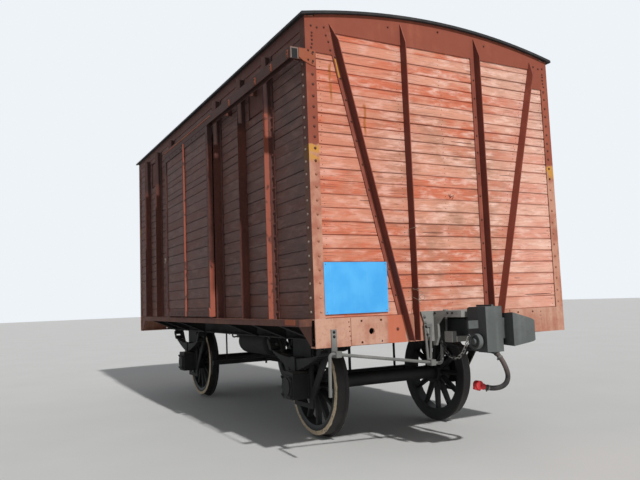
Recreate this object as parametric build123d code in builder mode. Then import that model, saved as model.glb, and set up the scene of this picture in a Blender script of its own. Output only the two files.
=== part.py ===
"""A two-axle covered goods wagon with a planked body, in millimetres.

The wheel flanges stand on z = 0 and the wagon's centre is at x = y = 0. +X points to the front end,
the one with the brake hose, and the left side is the -Y one. What is on the left side at +X is on
the right side at -X, as when the wagon is turned half round.
"""

import math
import os

from build123d import *

os.makedirs("parts", exist_ok=True)

# Body
half_length = 3230
half_width = 1470
roof_crown = 4088
roof_radius = 7120
roof_thickness = 25
roof_side_overhang = 45
roof_end_overhang = 32
board_thickness = 45
floor_thickness = 55
lower_board = 118
lower_board_count = 9
upper_board = 99
least_board = 30
groove = 5
cover_strip_width = 46
cover_strip_rise = 4
cover_strip_count = 8

# Steel framing of the body
post_plate = 8
post_flange = 56
post_web = 90
corner_leg = 100
head_depth = 270
head_gusset_depth = 205
cant_rail_depth = 112
end_post_y = 455
brace_foot_y = 568
post_foot_z = 1030
post_foot_lap = 30
brace_slope = 0.25

# Door
door_opening_top = 3470
door_half_width = 950
door_jamb = 20
door_thickness = 48
door_gap = 6
door_bottom = 1282
door_frame_width = 90
door_frame_proud = 10
door_rim_width = 64
stiffener_web = 24
roller_cover_width = 96
roller_cover_height = 118
guide_height = 95
guide_width = 66
guide_plate = 8
guide_top = 3608
rail_height = 60
rail_plate = 10
rail_top = 1264
rail_end_gap = 60
rail_bracket = 16
wheel_roller_radius = 42

# Posts of a side at +X: share of the way from the door post to the corner, and where the flange points
door_post_x = door_half_width + door_jamb
side_post_shares = [
    ("door post", 0, 1),
    ("inner post", 0.354, -1),
    ("outer post", 0.655, 1),
]

# Hatches
hatch_width = 480
hatch_height = 400
hatch_bottom = 3330
hatch_gap = 12
hatch_lap = 25
hatch_plate = 4
hinge_pin_radius = 8
hinge_eye_radius = 13

# Underframe
underframe_top = 1265
end_sill_bottom = 1020
end_sill_plate = 12
end_sill_flange = 90
solebar_y = 960
solebar_bottom = 1030
solebar_flange = 100
section_web = 10
section_plate = 12
centre_sill_y = 165
centre_sill_flange = 85
bearer_depth = 150
bracket_flange = 60
side_sill_depth = 70
side_sill_leg = 92
corner_gusset = 240

# Buffer seats
buffer_y = 920
buffer_z = 1137
buffer_bore_radius = 28
buffer_bolt_radius = 11
buffer_bolt_y = 101
buffer_bolt_z = 92
buffer_plate_thickness = 10
buffer_plate_width = 415

# Running gear
wheelbase = 3850
tread_radius = 525
flange_depth = 28
flange_thickness = 32
wheel_back_y = 720
rim_width = 130
tyre_depth = 75
wheel_rim_depth = 28
hub_radius = 125
hub_length = 185
spoke_count = 12
spoke_width = 82
spoke_thickness = 52
spoke_taper = 1.6
# Corners of a spoke's section, as shares of its half width and half thickness
spoke_outline = [(1, 0.4), (0.65, 1), (-0.65, 1), (-1, 0.4), (-1, -0.4), (-0.65, -1), (0.65, -1), (1, -0.4)]
axle_radius = 80
journal_radius = 66
journal_y = 1018
journal_length = 200
bearing_gap = 0.5

# Axle boxes and guards
box_half_width = 132
box_top_rise = 150
box_bottom_drop = 130
box_inner_y = 925
box_outer_y = 1135
box_corner = 28
lid_half = 112
lid_plate = 13
guard_plate = 20
guard_gap = 2
guard_half_opening = 140
guard_half_foot = 215
guard_reach = 700
guard_foot_drop = 223
guard_tie = 45

# Leaf springs
leaf_count = 9
leaf_thickness = 13
leaf_width = 76
main_leaf_half = 575
leaf_step = 58
leaf_radius = 2600
buckle_plate = 14
buckle_half = 50
shackle_pin_radius = 14
shackle_plate = 14

# Draw gear
coupler_z = 1130
coupling_reach = 650
shank_width = 130
shank_height = 150
head_back = -285
neck_width = 200
neck_height = 176
lock_height = 172
crown_rib_y = -70
crown_rib_length = 190
crown_rib_plate = 24
lug_plate = 22
lug_reach = 115
lug_height = 67
disc_radius = 64
disc_gap = 28
disc_rim = 42
disc_web = 24
disc_edge = 14
disc_hub_radius = 24
disc_hub_reach = 86
striker_reach = 355
striker_plate = 20
striker_top = 1285
striker_bottom = 1012
striker_top_half = 390
striker_foot_half = 300
ledge_half_back = 250
ledge_half_front = 205
ledge_depth = 58
cheek_reach = 75
cheek_plate = 26
centring_beam_width = 84
centring_beam_depth = 50
hanger_y = 205
hanger_radius = 12
draft_gear_set = 670
draft_gear_length = 600
draft_gear_height = 240

# Uncoupling lever and its chain
lever_reach = 60
lever_radius = 14
handle_y = -1375
handle_foot_z = 620
rod_high_z = 975
rod_low_z = 808
rod_end_y = -212
crank_y = -202
crank_rise = 172
outer_strap_y = -1300
inner_strap_y = -325
strap_width = 52
strap_plate = 12
strap_top_z = 1170
chain_link_count = 13
chain_wire = 9
chain_link_inside = 43
chain_link_gap = 0.5
chain_link_width = 16
chain_curve = 153
chain_ring_radius = 13
chain_span = 412
chain_rise = 66
chain_turn = -5

# Brake
pipe_radius = 21
pipe_y = 300
pipe_z = 960
pipe_bend_reach = 500
cock_reach = 110
cock_y = 300
cock_z = 900
cock_radius = 32
cock_length = 70
outlet_length = 55
hose_diameter = 46
bend_share = 0.45
coupling_length = 105
coupling_radius = 40
coupling_half = 25
clamp_rise = 5
claw_length = 64
claw_width = 26
claw_half = 15
claw_corner = 8
brake_gap = 11
shoe_thickness = 50
shoe_width = 80
shoe_y = 800
shoe_half_angle = 18
beam_size = 60
beam_hanger_y = 620
brake_lever_width = 70
brake_lever_plate = 18
brake_rod_radius = 15
cylinder_radius = 178
cylinder_y = 560
cylinder_z = 900
cylinder_length = 420
cylinder_cover = 24
cylinder_nose = 90
reservoir_length = 960
tank_bearer_x = (-280, 80)
reservoir_radius = 165

# Smaller pieces of the body
carline_width = 50
carline_depth = 60
door_tongue = 34
door_guide_gap = 6
staple_reach = 20
seat_gap = 0.3

# Places that follow from the sizes above
axle_z = tread_radius + flange_depth
wall_x = half_length - post_plate
wall_y = half_width - post_plate
wall_back_x = wall_x - board_thickness
wall_back_y = wall_y - board_thickness
roof_centre_z = roof_crown - roof_radius
door_opening_half = door_half_width - door_jamb
panel_span = half_length - door_post_x
side_post_table = [(name, door_post_x + share * panel_span, turn) for name, share, turn in side_post_shares]
inner_post_x = side_post_table[1][1]
outer_post_x = side_post_table[2][1]
hatch_x = (inner_post_x + outer_post_x) / 2
rail_end = half_length - rail_end_gap
coupling_x = half_length + coupling_reach
draft_gear_x = half_length - draft_gear_set
lever_x = half_length + lever_reach
cock_x = half_length + cock_reach
door_back = wall_y + post_web + door_gap
door_face = door_back + door_thickness
wheel_face_y = wheel_back_y + rim_width
shoe_inner = tread_radius + brake_gap
shoe_outer = shoe_inner + shoe_thickness
beam_x = wheelbase / 2 - shoe_outer - beam_size / 2
hose_points = [
    (cock_x + 115, cock_y + 8, cock_z - 35),
    (cock_x + 165, cock_y + 22, cock_z - 88),
    (cock_x + 190, cock_y + 36, cock_z - 160),
    (cock_x + 197, cock_y + 50, cock_z - 234),
    (cock_x + 196, cock_y + 22, cock_z - 300),
    (cock_x + 194, cock_y - 38, cock_z - 339),
    (cock_x + 191, cock_y - 110, cock_z - 342),
    (cock_x + 188, cock_y - 181, cock_z - 326),
    (cock_x + 184, cock_y - 240, cock_z - 306),
]
axle_places = [(sx * wheelbase / 2, sy) for sx in (1, -1) for sy in (1, -1)]
guard_foot_z = axle_z - guard_foot_drop
guard_half_top = min(guard_reach, half_length - end_sill_flange - wheelbase / 2 - 10)


def roof_under(y):
    """Height of the underside of the roof at a distance y from the middle."""
    return roof_centre_z + math.sqrt((roof_radius - roof_thickness) ** 2 - y**2)


def channel(length, depth, flange, web, plate):
    """A channel along X: web's back on y = 0, flanges toward +Y, top on z = 0."""
    with BuildPart() as bar:
        with BuildSketch(Plane.YZ.offset(-length / 2)):
            with BuildLine():
                Polyline(
                    (0, 0),
                    (flange, 0),
                    (flange, -plate),
                    (web, -plate),
                    (web, plate - depth),
                    (flange, plate - depth),
                    (flange, -depth),
                    (0, -depth),
                    close=True,
                )
            make_face()
        extrude(amount=length)
    return bar.part


def boards(length, bottom, top, thickness):
    """Boards along X from x = 0, with their face toward +Y on y = 0 and a groove at each seam."""
    outline = [(-thickness, top), (-thickness, bottom), (0, bottom)]
    seam = underframe_top
    for number in range(100):
        seam += lower_board if number < lower_board_count else upper_board
        if bottom + least_board < seam < top - least_board:
            outline += [(0, seam - groove), (-groove, seam), (0, seam + groove)]
    with BuildPart() as wall:
        with BuildSketch(Plane.YZ):
            with BuildLine():
                Polyline(*outline, (0, top), close=True)
            make_face()
        extrude(amount=length)
    return wall.part


def angle_bar(length, leg_a, leg_b, plate):
    """An angle along Z from z = 0: leg_a along +X with its back on y = 0, leg_b along +Y on x = 0."""
    with BuildPart() as bar:
        with BuildSketch():
            with BuildLine():
                Polyline(
                    (0, 0),
                    (leg_a, 0),
                    (leg_a, plate),
                    (plate, plate),
                    (plate, leg_b),
                    (0, leg_b),
                    close=True,
                )
            make_face()
        extrude(amount=length)
    return bar.part


# End sills: a channel across each end with a pocket for the coupler and seats for the buffers
end_sill_depth = underframe_top - end_sill_bottom
end_sill_mid_z = end_sill_bottom + end_sill_depth / 2
with BuildPart() as end_sill_front:
    with BuildSketch(Plane.XZ.offset(-half_width)):
        with BuildLine():
            Polyline(
                (half_length, underframe_top),
                (half_length, end_sill_bottom),
                (half_length - end_sill_flange, end_sill_bottom),
                (half_length - end_sill_flange, end_sill_bottom + section_plate),
                (half_length - end_sill_plate, end_sill_bottom + section_plate),
                (half_length - end_sill_plate, underframe_top - section_plate),
                (half_length - end_sill_flange, underframe_top - section_plate),
                (half_length - end_sill_flange, underframe_top),
                close=True,
            )
        make_face()
    extrude(amount=2 * half_width)
    # Buffer seats
    with Locations(Plane.YZ.offset(half_length)):
        with Locations((buffer_y, end_sill_mid_z), (-buffer_y, end_sill_mid_z)):
            Box(
                buffer_plate_width,
                end_sill_depth - 10,
                buffer_plate_thickness,
                align=(Align.CENTER, Align.CENTER, Align.MIN),
            )
        with Locations((buffer_y, buffer_z), (-buffer_y, buffer_z)):
            Hole(buffer_bore_radius)
            with GridLocations(2 * buffer_bolt_y, 2 * buffer_bolt_z, 2, 2):
                Hole(buffer_bolt_radius)
    # Coupler pocket
    with Locations((half_length, 0, coupler_z)):
        Box(2 * end_sill_flange + 20, 2 * centre_sill_y - 20, shank_height + 50, mode=Mode.SUBTRACT)
    # Notches for the long members
    for notch_y, notch_width, notch_bottom in (
        (solebar_y, solebar_flange, solebar_bottom),
        (centre_sill_y, centre_sill_flange, solebar_bottom),
    ):
        for side in (1, -1):
            notch_middle = side * (notch_y + notch_width / 2)
            with Locations((half_length - end_sill_plate, notch_middle, underframe_top)):
                Box(
                    end_sill_flange,
                    notch_width,
                    underframe_top - notch_bottom,
                    align=(Align.MAX, Align.CENTER, Align.MAX),
                    mode=Mode.SUBTRACT,
                )
end_sill_front.part.label = "end_sill_front"
export_step(end_sill_front.part, "parts/end_sill_front.step")

with BuildPart() as end_sill_rear:
    add(end_sill_front.part, rotation=(0, 0, 180))
end_sill_rear.part.label = "end_sill_rear"
export_step(end_sill_rear.part, "parts/end_sill_rear.step")

# Long members
member_length = 2 * (half_length - end_sill_plate)
member_depth = underframe_top - solebar_bottom
with BuildPart() as solebars:
    with Locations((0, solebar_y, underframe_top)):
        add(channel(member_length, member_depth, solebar_flange, section_web, section_plate))
    mirror(about=Plane.XZ)
solebars.part.label = "solebars"
export_step(solebars.part, "parts/solebars.step")

with BuildPart() as centre_sills:
    with Locations((0, centre_sill_y, underframe_top)):
        add(channel(member_length, member_depth, centre_sill_flange, section_web, section_plate))
    mirror(about=Plane.XZ)
centre_sills.part.label = "centre_sills"
export_step(centre_sills.part, "parts/centre_sills.step")

# Cross bearers between the long members, with brackets out to the side sills at the posts
bearer_x = [sx * x for _, x, _ in side_post_table for sx in (1, -1)]
plain_bearer_x = [beam_x, -beam_x, *tank_bearer_x]
outer_start = solebar_y + solebar_flange
bracket_end = wall_y - post_plate
inner_start = centre_sill_y + centre_sill_flange
with BuildPart() as cross_bearers:
    for x in bearer_x + plain_bearer_x:
        # A guard's plate lies on the back of the solebar near an axle
        behind_guard = abs(abs(x) - wheelbase / 2) < guard_half_top
        inner_end = solebar_y - (guard_plate if behind_guard else 0)
        for side in (1, -1):
            with Locations((x, side * (inner_start + inner_end) / 2, underframe_top)):
                Box(
                    section_plate,
                    inner_end - inner_start,
                    bearer_depth,
                    align=(Align.CENTER, Align.CENTER, Align.MAX),
                )
    for x in bearer_x:
        for side in (1, -1):
            with BuildSketch(Plane.YZ.offset(x - section_plate / 2)):
                with BuildLine():
                    Polyline(
                        (side * outer_start, underframe_top),
                        (side * bracket_end, underframe_top),
                        (side * bracket_end, underframe_top - side_sill_depth),
                        (side * outer_start, solebar_bottom),
                        close=True,
                    )
                make_face()
            extrude(amount=section_plate)
            with BuildSketch(Plane.YZ.offset(x - bracket_flange / 2)):
                with BuildLine():
                    Polyline(
                        (side * outer_start, solebar_bottom),
                        (side * bracket_end, underframe_top - side_sill_depth),
                        (side * bracket_end, underframe_top - side_sill_depth + section_plate),
                        (side * outer_start, solebar_bottom + section_plate),
                        close=True,
                    )
                make_face()
            extrude(amount=bracket_flange)
    for x in bearer_x + plain_bearer_x:
        if abs(x) < draft_gear_x - draft_gear_length:
            with Locations((x, 0, underframe_top)):
                Box(
                    section_plate,
                    2 * centre_sill_y,
                    bearer_depth,
                    align=(Align.CENTER, Align.CENTER, Align.MAX),
                )
cross_bearers.part.label = "cross_bearers"
export_step(cross_bearers.part, "parts/cross_bearers.step")

# Side sills: an angle under the wall boards
side_sill_length = 2 * (half_length - end_sill_flange)
with BuildPart() as side_sills:
    with BuildSketch(Plane.YZ.offset(-side_sill_length / 2)):
        with BuildLine():
            Polyline(
                (wall_y, underframe_top),
                (wall_y, underframe_top - side_sill_depth),
                (wall_y - post_plate, underframe_top - side_sill_depth),
                (wall_y - post_plate, underframe_top - post_plate),
                (wall_y - side_sill_leg, underframe_top - post_plate),
                (wall_y - side_sill_leg, underframe_top),
                close=True,
            )
        make_face()
    extrude(amount=side_sill_length)
    # Gussets down to the foot of the end sills
    with BuildSketch(Plane.XZ.offset(-wall_y)):
        for side in (1, -1):
            with BuildLine():
                Polyline(
                    (side * side_sill_length / 2, underframe_top - 2 * post_plate),
                    (side * side_sill_length / 2, end_sill_bottom),
                    (side * (side_sill_length / 2 - corner_gusset), underframe_top - side_sill_depth),
                    (side * (side_sill_length / 2 - corner_gusset), underframe_top - 2 * post_plate),
                    close=True,
                )
            make_face()
    extrude(amount=post_plate)
    # The brackets' ends come up through the inner leg
    with Locations(*[(x, wall_y - side_sill_leg, underframe_top) for x in bearer_x]):
        Box(
            section_plate,
            side_sill_leg - post_plate,
            post_plate,
            align=(Align.CENTER, Align.MIN, Align.MAX),
            mode=Mode.SUBTRACT,
        )
    mirror(about=Plane.XZ)
side_sills.part.label = "side_sills"
export_step(side_sills.part, "parts/side_sills.step")

# Floor boards laid across
with BuildPart() as floor:
    with Locations((0, 0, underframe_top)):
        Box(2 * wall_back_x, 2 * wall_back_y, floor_thickness, align=(Align.CENTER, Align.CENTER, Align.MIN))
floor.part.label = "floor"
export_step(floor.part, "parts/floor.step")

# Axle guards: a plate on the back of each solebar, with legs on both sides of the axle box
guard_y = solebar_y - guard_plate
with BuildPart() as axle_guards:
    with BuildSketch(Plane.XZ.offset(-guard_y - guard_plate)):
        with BuildLine():
            Polyline(
                (-guard_half_top, underframe_top - section_plate),
                (guard_half_top, underframe_top - section_plate),
                (guard_half_top, solebar_bottom + 20),
                (guard_half_foot, guard_foot_z + 2 * guard_tie),
                (guard_half_foot, guard_foot_z),
                (-guard_half_foot, guard_foot_z),
                (-guard_half_foot, guard_foot_z + 2 * guard_tie),
                (-guard_half_top, solebar_bottom + 20),
                close=True,
            )
        make_face()
        with Locations((0, guard_foot_z + guard_tie)):
            Rectangle(
                2 * guard_half_opening,
                axle_z + box_top_rise + 60 - guard_foot_z - guard_tie,
                align=(Align.CENTER, Align.MIN),
                mode=Mode.SUBTRACT,
            )
        for side in (1, -1):
            with BuildLine():
                Polyline(
                    (side * (guard_half_opening + 70), solebar_bottom - 5),
                    (side * (guard_half_top - 130), solebar_bottom - 5),
                    (side * (guard_half_opening + 70), axle_z - 18),
                    close=True,
                )
            make_face(mode=Mode.SUBTRACT)
    extrude(amount=guard_plate)
axle_guard = axle_guards.part
with BuildPart() as axle_guards:
    for x, side in axle_places:
        with Locations((x, (side - 1) / 2 * (2 * guard_y + guard_plate), 0)):
            add(axle_guard)
axle_guards.part.label = "axle_guards"
export_step(axle_guards.part, "parts/axle_guards.step")

# Axle boxes: a housing that slides on the guard's legs, with a round cover
box_mid_z = axle_z + (box_top_rise - box_bottom_drop) / 2
box_height = box_top_rise + box_bottom_drop
with BuildPart() as axle_box:
    with Locations((0, box_inner_y, box_mid_z)):
        Box(
            2 * box_half_width,
            box_outer_y - box_inner_y,
            box_height,
            align=(Align.CENTER, Align.MIN, Align.CENTER),
        )
    fillet(axle_box.edges().filter_by(Axis.Y), box_corner)
    for rib_y, rib_align in ((guard_y - guard_gap, Align.MAX), (solebar_y + guard_gap, Align.MIN)):
        with Locations((0, rib_y, box_mid_z)):
            Box(2 * box_half_width + 60, 10, box_height - 60, align=(Align.CENTER, rib_align, Align.CENTER))
    with BuildSketch(Plane.XZ.offset(-box_outer_y)):
        with Locations((0, axle_z)):
            RectangleRounded(2 * lid_half, 2 * lid_half, 30)
    extrude(amount=-lid_plate)
    with BuildSketch(Plane.XZ.offset(-box_outer_y - lid_plate)):
        with Locations((0, axle_z)):
            Circle(lid_half - 20)
            with GridLocations(2 * lid_half - 44, 2 * lid_half - 44, 2, 2):
                RegularPolygon(15, 6)
    extrude(amount=-lid_plate)
    with BuildSketch(Plane.XZ.offset(-box_inner_y)):
        with Locations((0, axle_z)):
            Circle(journal_radius + bearing_gap)
    extrude(amount=-(box_outer_y - box_inner_y - 15), mode=Mode.SUBTRACT)
with BuildPart() as axle_boxes:
    for x, side in axle_places:
        with Locations((x, 0, 0)):
            add(axle_box.part if side > 0 else mirror(axle_box.part, about=Plane.XZ, mode=Mode.PRIVATE))
axle_boxes.part.label = "axle_boxes"
export_step(axle_boxes.part, "parts/axle_boxes.step")

# Leaf springs: stepped leaves bent upward, held by a buckle that stands on the axle box
box_top = axle_z + box_top_rise
pack_bottom = box_top + buckle_plate
pack_top = pack_bottom + leaf_count * leaf_thickness
bend_centre_z = pack_top + leaf_radius
eye_radius = shackle_pin_radius + bearing_gap + leaf_thickness
eye_angle = main_leaf_half / leaf_radius
eye_swing = leaf_radius + leaf_thickness - eye_radius
eye_x = eye_swing * math.sin(eye_angle)
eye_z = bend_centre_z - eye_swing * math.cos(eye_angle)
with BuildPart() as leaf_spring:
    for number in range(leaf_count):
        inner = leaf_radius + number * leaf_thickness
        half = math.degrees((main_leaf_half - number * leaf_step) / leaf_radius)
        with BuildSketch(Plane.XZ.offset(-journal_y + leaf_width / 2)):
            with BuildLine():
                top = CenterArc((0, bend_centre_z), inner, 270 - half, 2 * half)
                under = CenterArc((0, bend_centre_z), inner + leaf_thickness, 270 - half, 2 * half)
                Line(top @ 0, under @ 0)
                Line(top @ 1, under @ 1)
            make_face()
        extrude(amount=-leaf_width)
    with Locations((0, journal_y, box_top)):
        Box(
            2 * buckle_half,
            leaf_width + 2 * buckle_plate,
            pack_top - box_top + buckle_plate,
            align=(Align.CENTER, Align.CENTER, Align.MIN),
        )
    with BuildSketch(Plane.XZ.offset(-journal_y + leaf_width / 2)):
        with Locations((eye_x, eye_z), (-eye_x, eye_z)):
            Circle(eye_radius)
    extrude(amount=-leaf_width)
    with BuildSketch(Plane.XZ.offset(-journal_y + leaf_width / 2)):
        with Locations((eye_x, eye_z), (-eye_x, eye_z)):
            Circle(shackle_pin_radius + bearing_gap)
    extrude(amount=-leaf_width, mode=Mode.SUBTRACT)
with BuildPart() as leaf_springs:
    for x, side in axle_places:
        with Locations((x, (side - 1) * journal_y, 0)):
            add(leaf_spring.part)
leaf_springs.part.label = "leaf_springs"
export_step(leaf_springs.part, "parts/leaf_springs.step")

# Spring hangers: a bracket under the solebar and a pair of links down to each eye
hanger_x = eye_x + 60
hanger_z = solebar_bottom - 45
shackle_y = leaf_width / 2 + 1
with BuildPart() as spring_hanger:
    for side in (1, -1):
        shackle_face = journal_y + side * (shackle_y + shackle_plate / 2) - shackle_plate / 2
        with BuildSketch(Plane.XZ.offset(-shackle_face)):
            with BuildLine():
                Line((eye_x, eye_z), (hanger_x, hanger_z))
            trace(line_width=2 * eye_radius)
            with Locations((eye_x, eye_z), (hanger_x, hanger_z)):
                Circle(eye_radius)
        extrude(amount=-shackle_plate)
    with BuildSketch(Plane.XZ.offset(-journal_y + shackle_y + shackle_plate)):
        with Locations((eye_x, eye_z), (hanger_x, hanger_z)):
            Circle(shackle_pin_radius)
    extrude(amount=-2 * (shackle_y + shackle_plate))
    with Locations((hanger_x, journal_y, solebar_bottom)):
        Box(
            2 * eye_radius,
            leaf_width,
            solebar_bottom - hanger_z,
            align=(Align.CENTER, Align.CENTER, Align.MAX),
        )
    with BuildSketch(Plane.XZ.offset(-journal_y + leaf_width / 2)):
        with Locations((hanger_x, hanger_z)):
            Circle(eye_radius)
    extrude(amount=-leaf_width)
with BuildPart() as spring_hangers:
    for x, side in axle_places:
        with Locations((x, (side - 1) * journal_y, 0)):
            add(spring_hanger.part)
            add(mirror(spring_hanger.part, about=Plane.YZ, mode=Mode.PRIVATE))
spring_hangers.part.label = "spring_hangers"
export_step(spring_hangers.part, "parts/spring_hangers.step")

# Wheels: tyre with flange, rim, tapered spokes and hub
rim_inner = tread_radius - tyre_depth - wheel_rim_depth
hub_back_y = wheel_back_y - 15
with BuildPart() as wheel:
    with BuildSketch(Plane.XY):
        with BuildLine():
            Polyline(
                (rim_inner, wheel_back_y + 12),
                (rim_inner + wheel_rim_depth, wheel_back_y),
                (tread_radius + flange_depth - 8, wheel_back_y),
                (tread_radius + flange_depth, wheel_back_y + 8),
                (tread_radius + flange_depth - 4, wheel_back_y + 20),
                (tread_radius + 4, wheel_back_y + flange_thickness),
                (tread_radius, wheel_face_y - 40),
                (tread_radius - 3, wheel_face_y - 8),
                (tread_radius - 10, wheel_face_y),
                (rim_inner + wheel_rim_depth, wheel_face_y),
                (rim_inner, wheel_face_y - 12),
                close=True,
            )
        make_face()
        with Locations((axle_radius, hub_back_y)):
            Rectangle(hub_radius - axle_radius, hub_length, align=(Align.MIN, Align.MIN))
    revolve(axis=Axis.Y)
    spoke_y = (wheel_back_y + wheel_face_y) / 2
    spoke_length = rim_inner + 6 - hub_radius + 10
    for turn in range(spoke_count):
        angle = 2 * math.pi * turn / spoke_count
        outward = (math.cos(angle), 0, math.sin(angle))
        spoke_foot = Vector(0, spoke_y, 0) + Vector(*outward) * (hub_radius - 10)
        with BuildSketch(Plane(origin=spoke_foot, x_dir=(0, 1, 0), z_dir=outward)):
            with BuildLine():
                Polyline(
                    *[(spoke_width / 2 * u, spoke_thickness / 2 * v) for u, v in spoke_outline],
                    close=True,
                )
            make_face()
        extrude(amount=spoke_length, taper=spoke_taper)
with BuildPart() as axle:
    with BuildSketch(Plane.XY):
        with BuildLine():
            Polyline(
                (0, 0),
                (axle_radius - 6, 0),
                (axle_radius - 6, wheel_back_y - 120),
                (axle_radius, wheel_back_y - 60),
                (axle_radius, hub_back_y + hub_length),
                (journal_radius + 6, hub_back_y + hub_length + 6),
                (journal_radius, journal_y - journal_length / 2),
                (journal_radius, journal_y + journal_length / 2),
                (0, journal_y + journal_length / 2),
                close=True,
            )
        make_face()
    revolve(axis=Axis.Y)
    mirror(about=Plane.XZ)
for place, sx in (("front", 1), ("rear", -1)):
    with BuildPart() as wheelset:
        with Locations((sx * wheelbase / 2, 0, axle_z)):
            add(axle.part)
            add(wheel.part)
            add(mirror(wheel.part, about=Plane.XZ, mode=Mode.PRIVATE))
    wheelset.part.label = f"wheelset_{place}"
    export_step(wheelset.part, f"parts/wheelset_{place}.step")

# Automatic coupler: the head is the common volume of its plan, its side view and its front view
# Points are measured from the coupling point: forward, then toward the large tooth or up
head_plan = [
    (head_back, 105),
    (-262, 150),
    (-150, 212),
    (-20, 240),
    (105, 232),
    (162, 196),
    (178, 158),
    (172, 120),
    (124, -10),
    (-42, 14),
    (-74, 2),
    (-58, -12),
    (8, -18),
    (10, -72),
    (-30, -165),
    (-120, -172),
    (-262, -165),
    (head_back, -105),
]
head_side = [
    (head_back, 110),
    (-262, 172),
    (-235, 184),
    (178, 188),
    (178, -198),
    (-200, -196),
    (-262, -160),
    (head_back, -110),
]
# Across and up: the large tooth's side is lower than the small one's
head_front = [
    (-240, 200),
    (-15, 200),
    (-13, 133),
    (196, 57),
    (250, 40),
    (250, -94),
    (196, -107),
    (-13, -150),
    (-15, -205),
    (-240, -205),
]
lock_plan = [(-90, -60), (-90, 90), (-50, 92), (8, 60), (14, -6), (-20, -60)]
disc_x = coupling_x - 110
disc_z = coupler_z - 106
side_face = -165

# The chain's line, a catenary from the lever's crank to the disc of the release shaft
crank_top = Vector(lever_x, crank_y, rod_low_z + crank_rise)
chain_way = Vector(math.cos(math.radians(chain_turn)), math.sin(math.radians(chain_turn)), 0)
chain_across = Vector(-chain_way.Y, chain_way.X, 0)
link_pitch = chain_link_inside - chain_link_gap
chain_low = chain_span / 2 - chain_curve * math.atanh(chain_rise / (chain_link_count * link_pitch))
low_length = chain_curve * math.sinh(chain_low / chain_curve)
chain_steps = []
for number in range(chain_link_count + 1):
    along = chain_curve * math.asinh((number * link_pitch - low_length) / chain_curve)
    height = chain_curve * (math.cosh(along / chain_curve) - math.cosh(chain_low / chain_curve))
    chain_steps.append(chain_way * (along + chain_low) + Vector(0, 0, height))
first_pull = (chain_steps[1] - chain_steps[0]).normalized()
last_pull = (chain_steps[-1] - chain_steps[-2]).normalized()
ring_wire = chain_wire / 2 + 0.5
ring_inside = chain_ring_radius - ring_wire
crank_ring = crank_top + Vector(0, 0, chain_ring_radius + 9)
chain_places = [crank_ring + first_pull * ring_inside + step for step in chain_steps]
disc_ring = chain_places[-1] + last_pull * ring_inside
with BuildPart() as coupler_front:
    with BuildSketch(Plane.XY.offset(coupler_z - 220)):
        with BuildLine():
            Polyline(*[(coupling_x + x, y) for x, y in head_plan], close=True)
        make_face()
    extrude(amount=440)
    with BuildSketch(Plane.XZ.offset(-300)):
        with BuildLine():
            Polyline(*[(coupling_x + x, coupler_z + z) for x, z in head_side], close=True)
        make_face()
    extrude(amount=600, mode=Mode.INTERSECT)
    with BuildSketch(Plane.YZ.offset(coupling_x + head_back)):
        with BuildLine():
            Polyline(*[(y, coupler_z + z) for y, z in head_front], close=True)
        make_face()
    extrude(amount=500, mode=Mode.INTERSECT)
    # The lock, its nose in the mouth between the teeth
    with BuildSketch(Plane.XY.offset(coupler_z - lock_height / 2)):
        with BuildLine():
            Polyline(*[(coupling_x + x, y) for x, y in lock_plan], close=True)
        make_face()
    extrude(amount=lock_height)
    # Shank with its flared neck
    with Locations((draft_gear_x, 0, coupler_z)):
        Box(
            coupling_x + head_back - draft_gear_x,
            shank_width,
            shank_height,
            align=(Align.MIN, Align.CENTER, Align.CENTER),
        )
    with BuildSketch(Plane.YZ.offset(coupling_x + head_back - 95)):
        with Locations((0, coupler_z)):
            Rectangle(shank_width, shank_height)
    with BuildSketch(Plane.YZ.offset(coupling_x + head_back)):
        with Locations((0, coupler_z)):
            Rectangle(neck_width, neck_height)
    loft()
    # Window of the lock's drive, with the shaft's bearing lugs on both sides
    with Locations((coupling_x - 190, side_face, coupler_z + 42)):
        Box(74, 14, 62, align=(Align.CENTER, Align.MIN, Align.CENTER), mode=Mode.SUBTRACT)
    with Locations((coupling_x - 120, side_face, coupler_z + 3)):
        Box(lug_plate, lug_reach, lug_height, align=(Align.MAX, Align.MAX, Align.MIN))
    # Weighted disc of the release shaft: a rim, a web and a hub
    for radius, start, reach in ((disc_radius, disc_gap, disc_rim), (disc_hub_radius, 0, disc_hub_reach)):
        with BuildSketch(Plane.XZ.offset(-side_face + start)):
            with Locations((disc_x, disc_z)):
                Circle(radius)
        extrude(amount=reach)
    with BuildSketch(Plane.XZ.offset(-side_face + disc_gap + disc_web)):
        with Locations((disc_x, disc_z)):
            Circle(disc_radius - disc_edge)
            Circle(disc_hub_radius, mode=Mode.SUBTRACT)
    extrude(amount=disc_rim, mode=Mode.SUBTRACT)
    with Locations(Location(Plane(origin=disc_ring, x_dir=chain_way, z_dir=chain_across))):
        Torus(chain_ring_radius, ring_wire)
    # Ribs over the crown and under the chin
    for z_from, z_to in ((coupler_z + 180, coupler_z + 200), (coupler_z - 212, coupler_z - 190)):
        with Locations((coupling_x - 235, crown_rib_y, z_from)):
            Box(crown_rib_length, crown_rib_plate, z_to - z_from, align=(Align.MIN, Align.CENTER, Align.MIN))
coupler_front.part.label = "coupler_front"
export_step(coupler_front.part, "parts/coupler_front.step")

with BuildPart() as coupler_rear:
    add(coupler_front.part, rotation=(0, 0, 180))
coupler_rear.part.label = "coupler_rear"
export_step(coupler_rear.part, "parts/coupler_rear.step")

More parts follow.
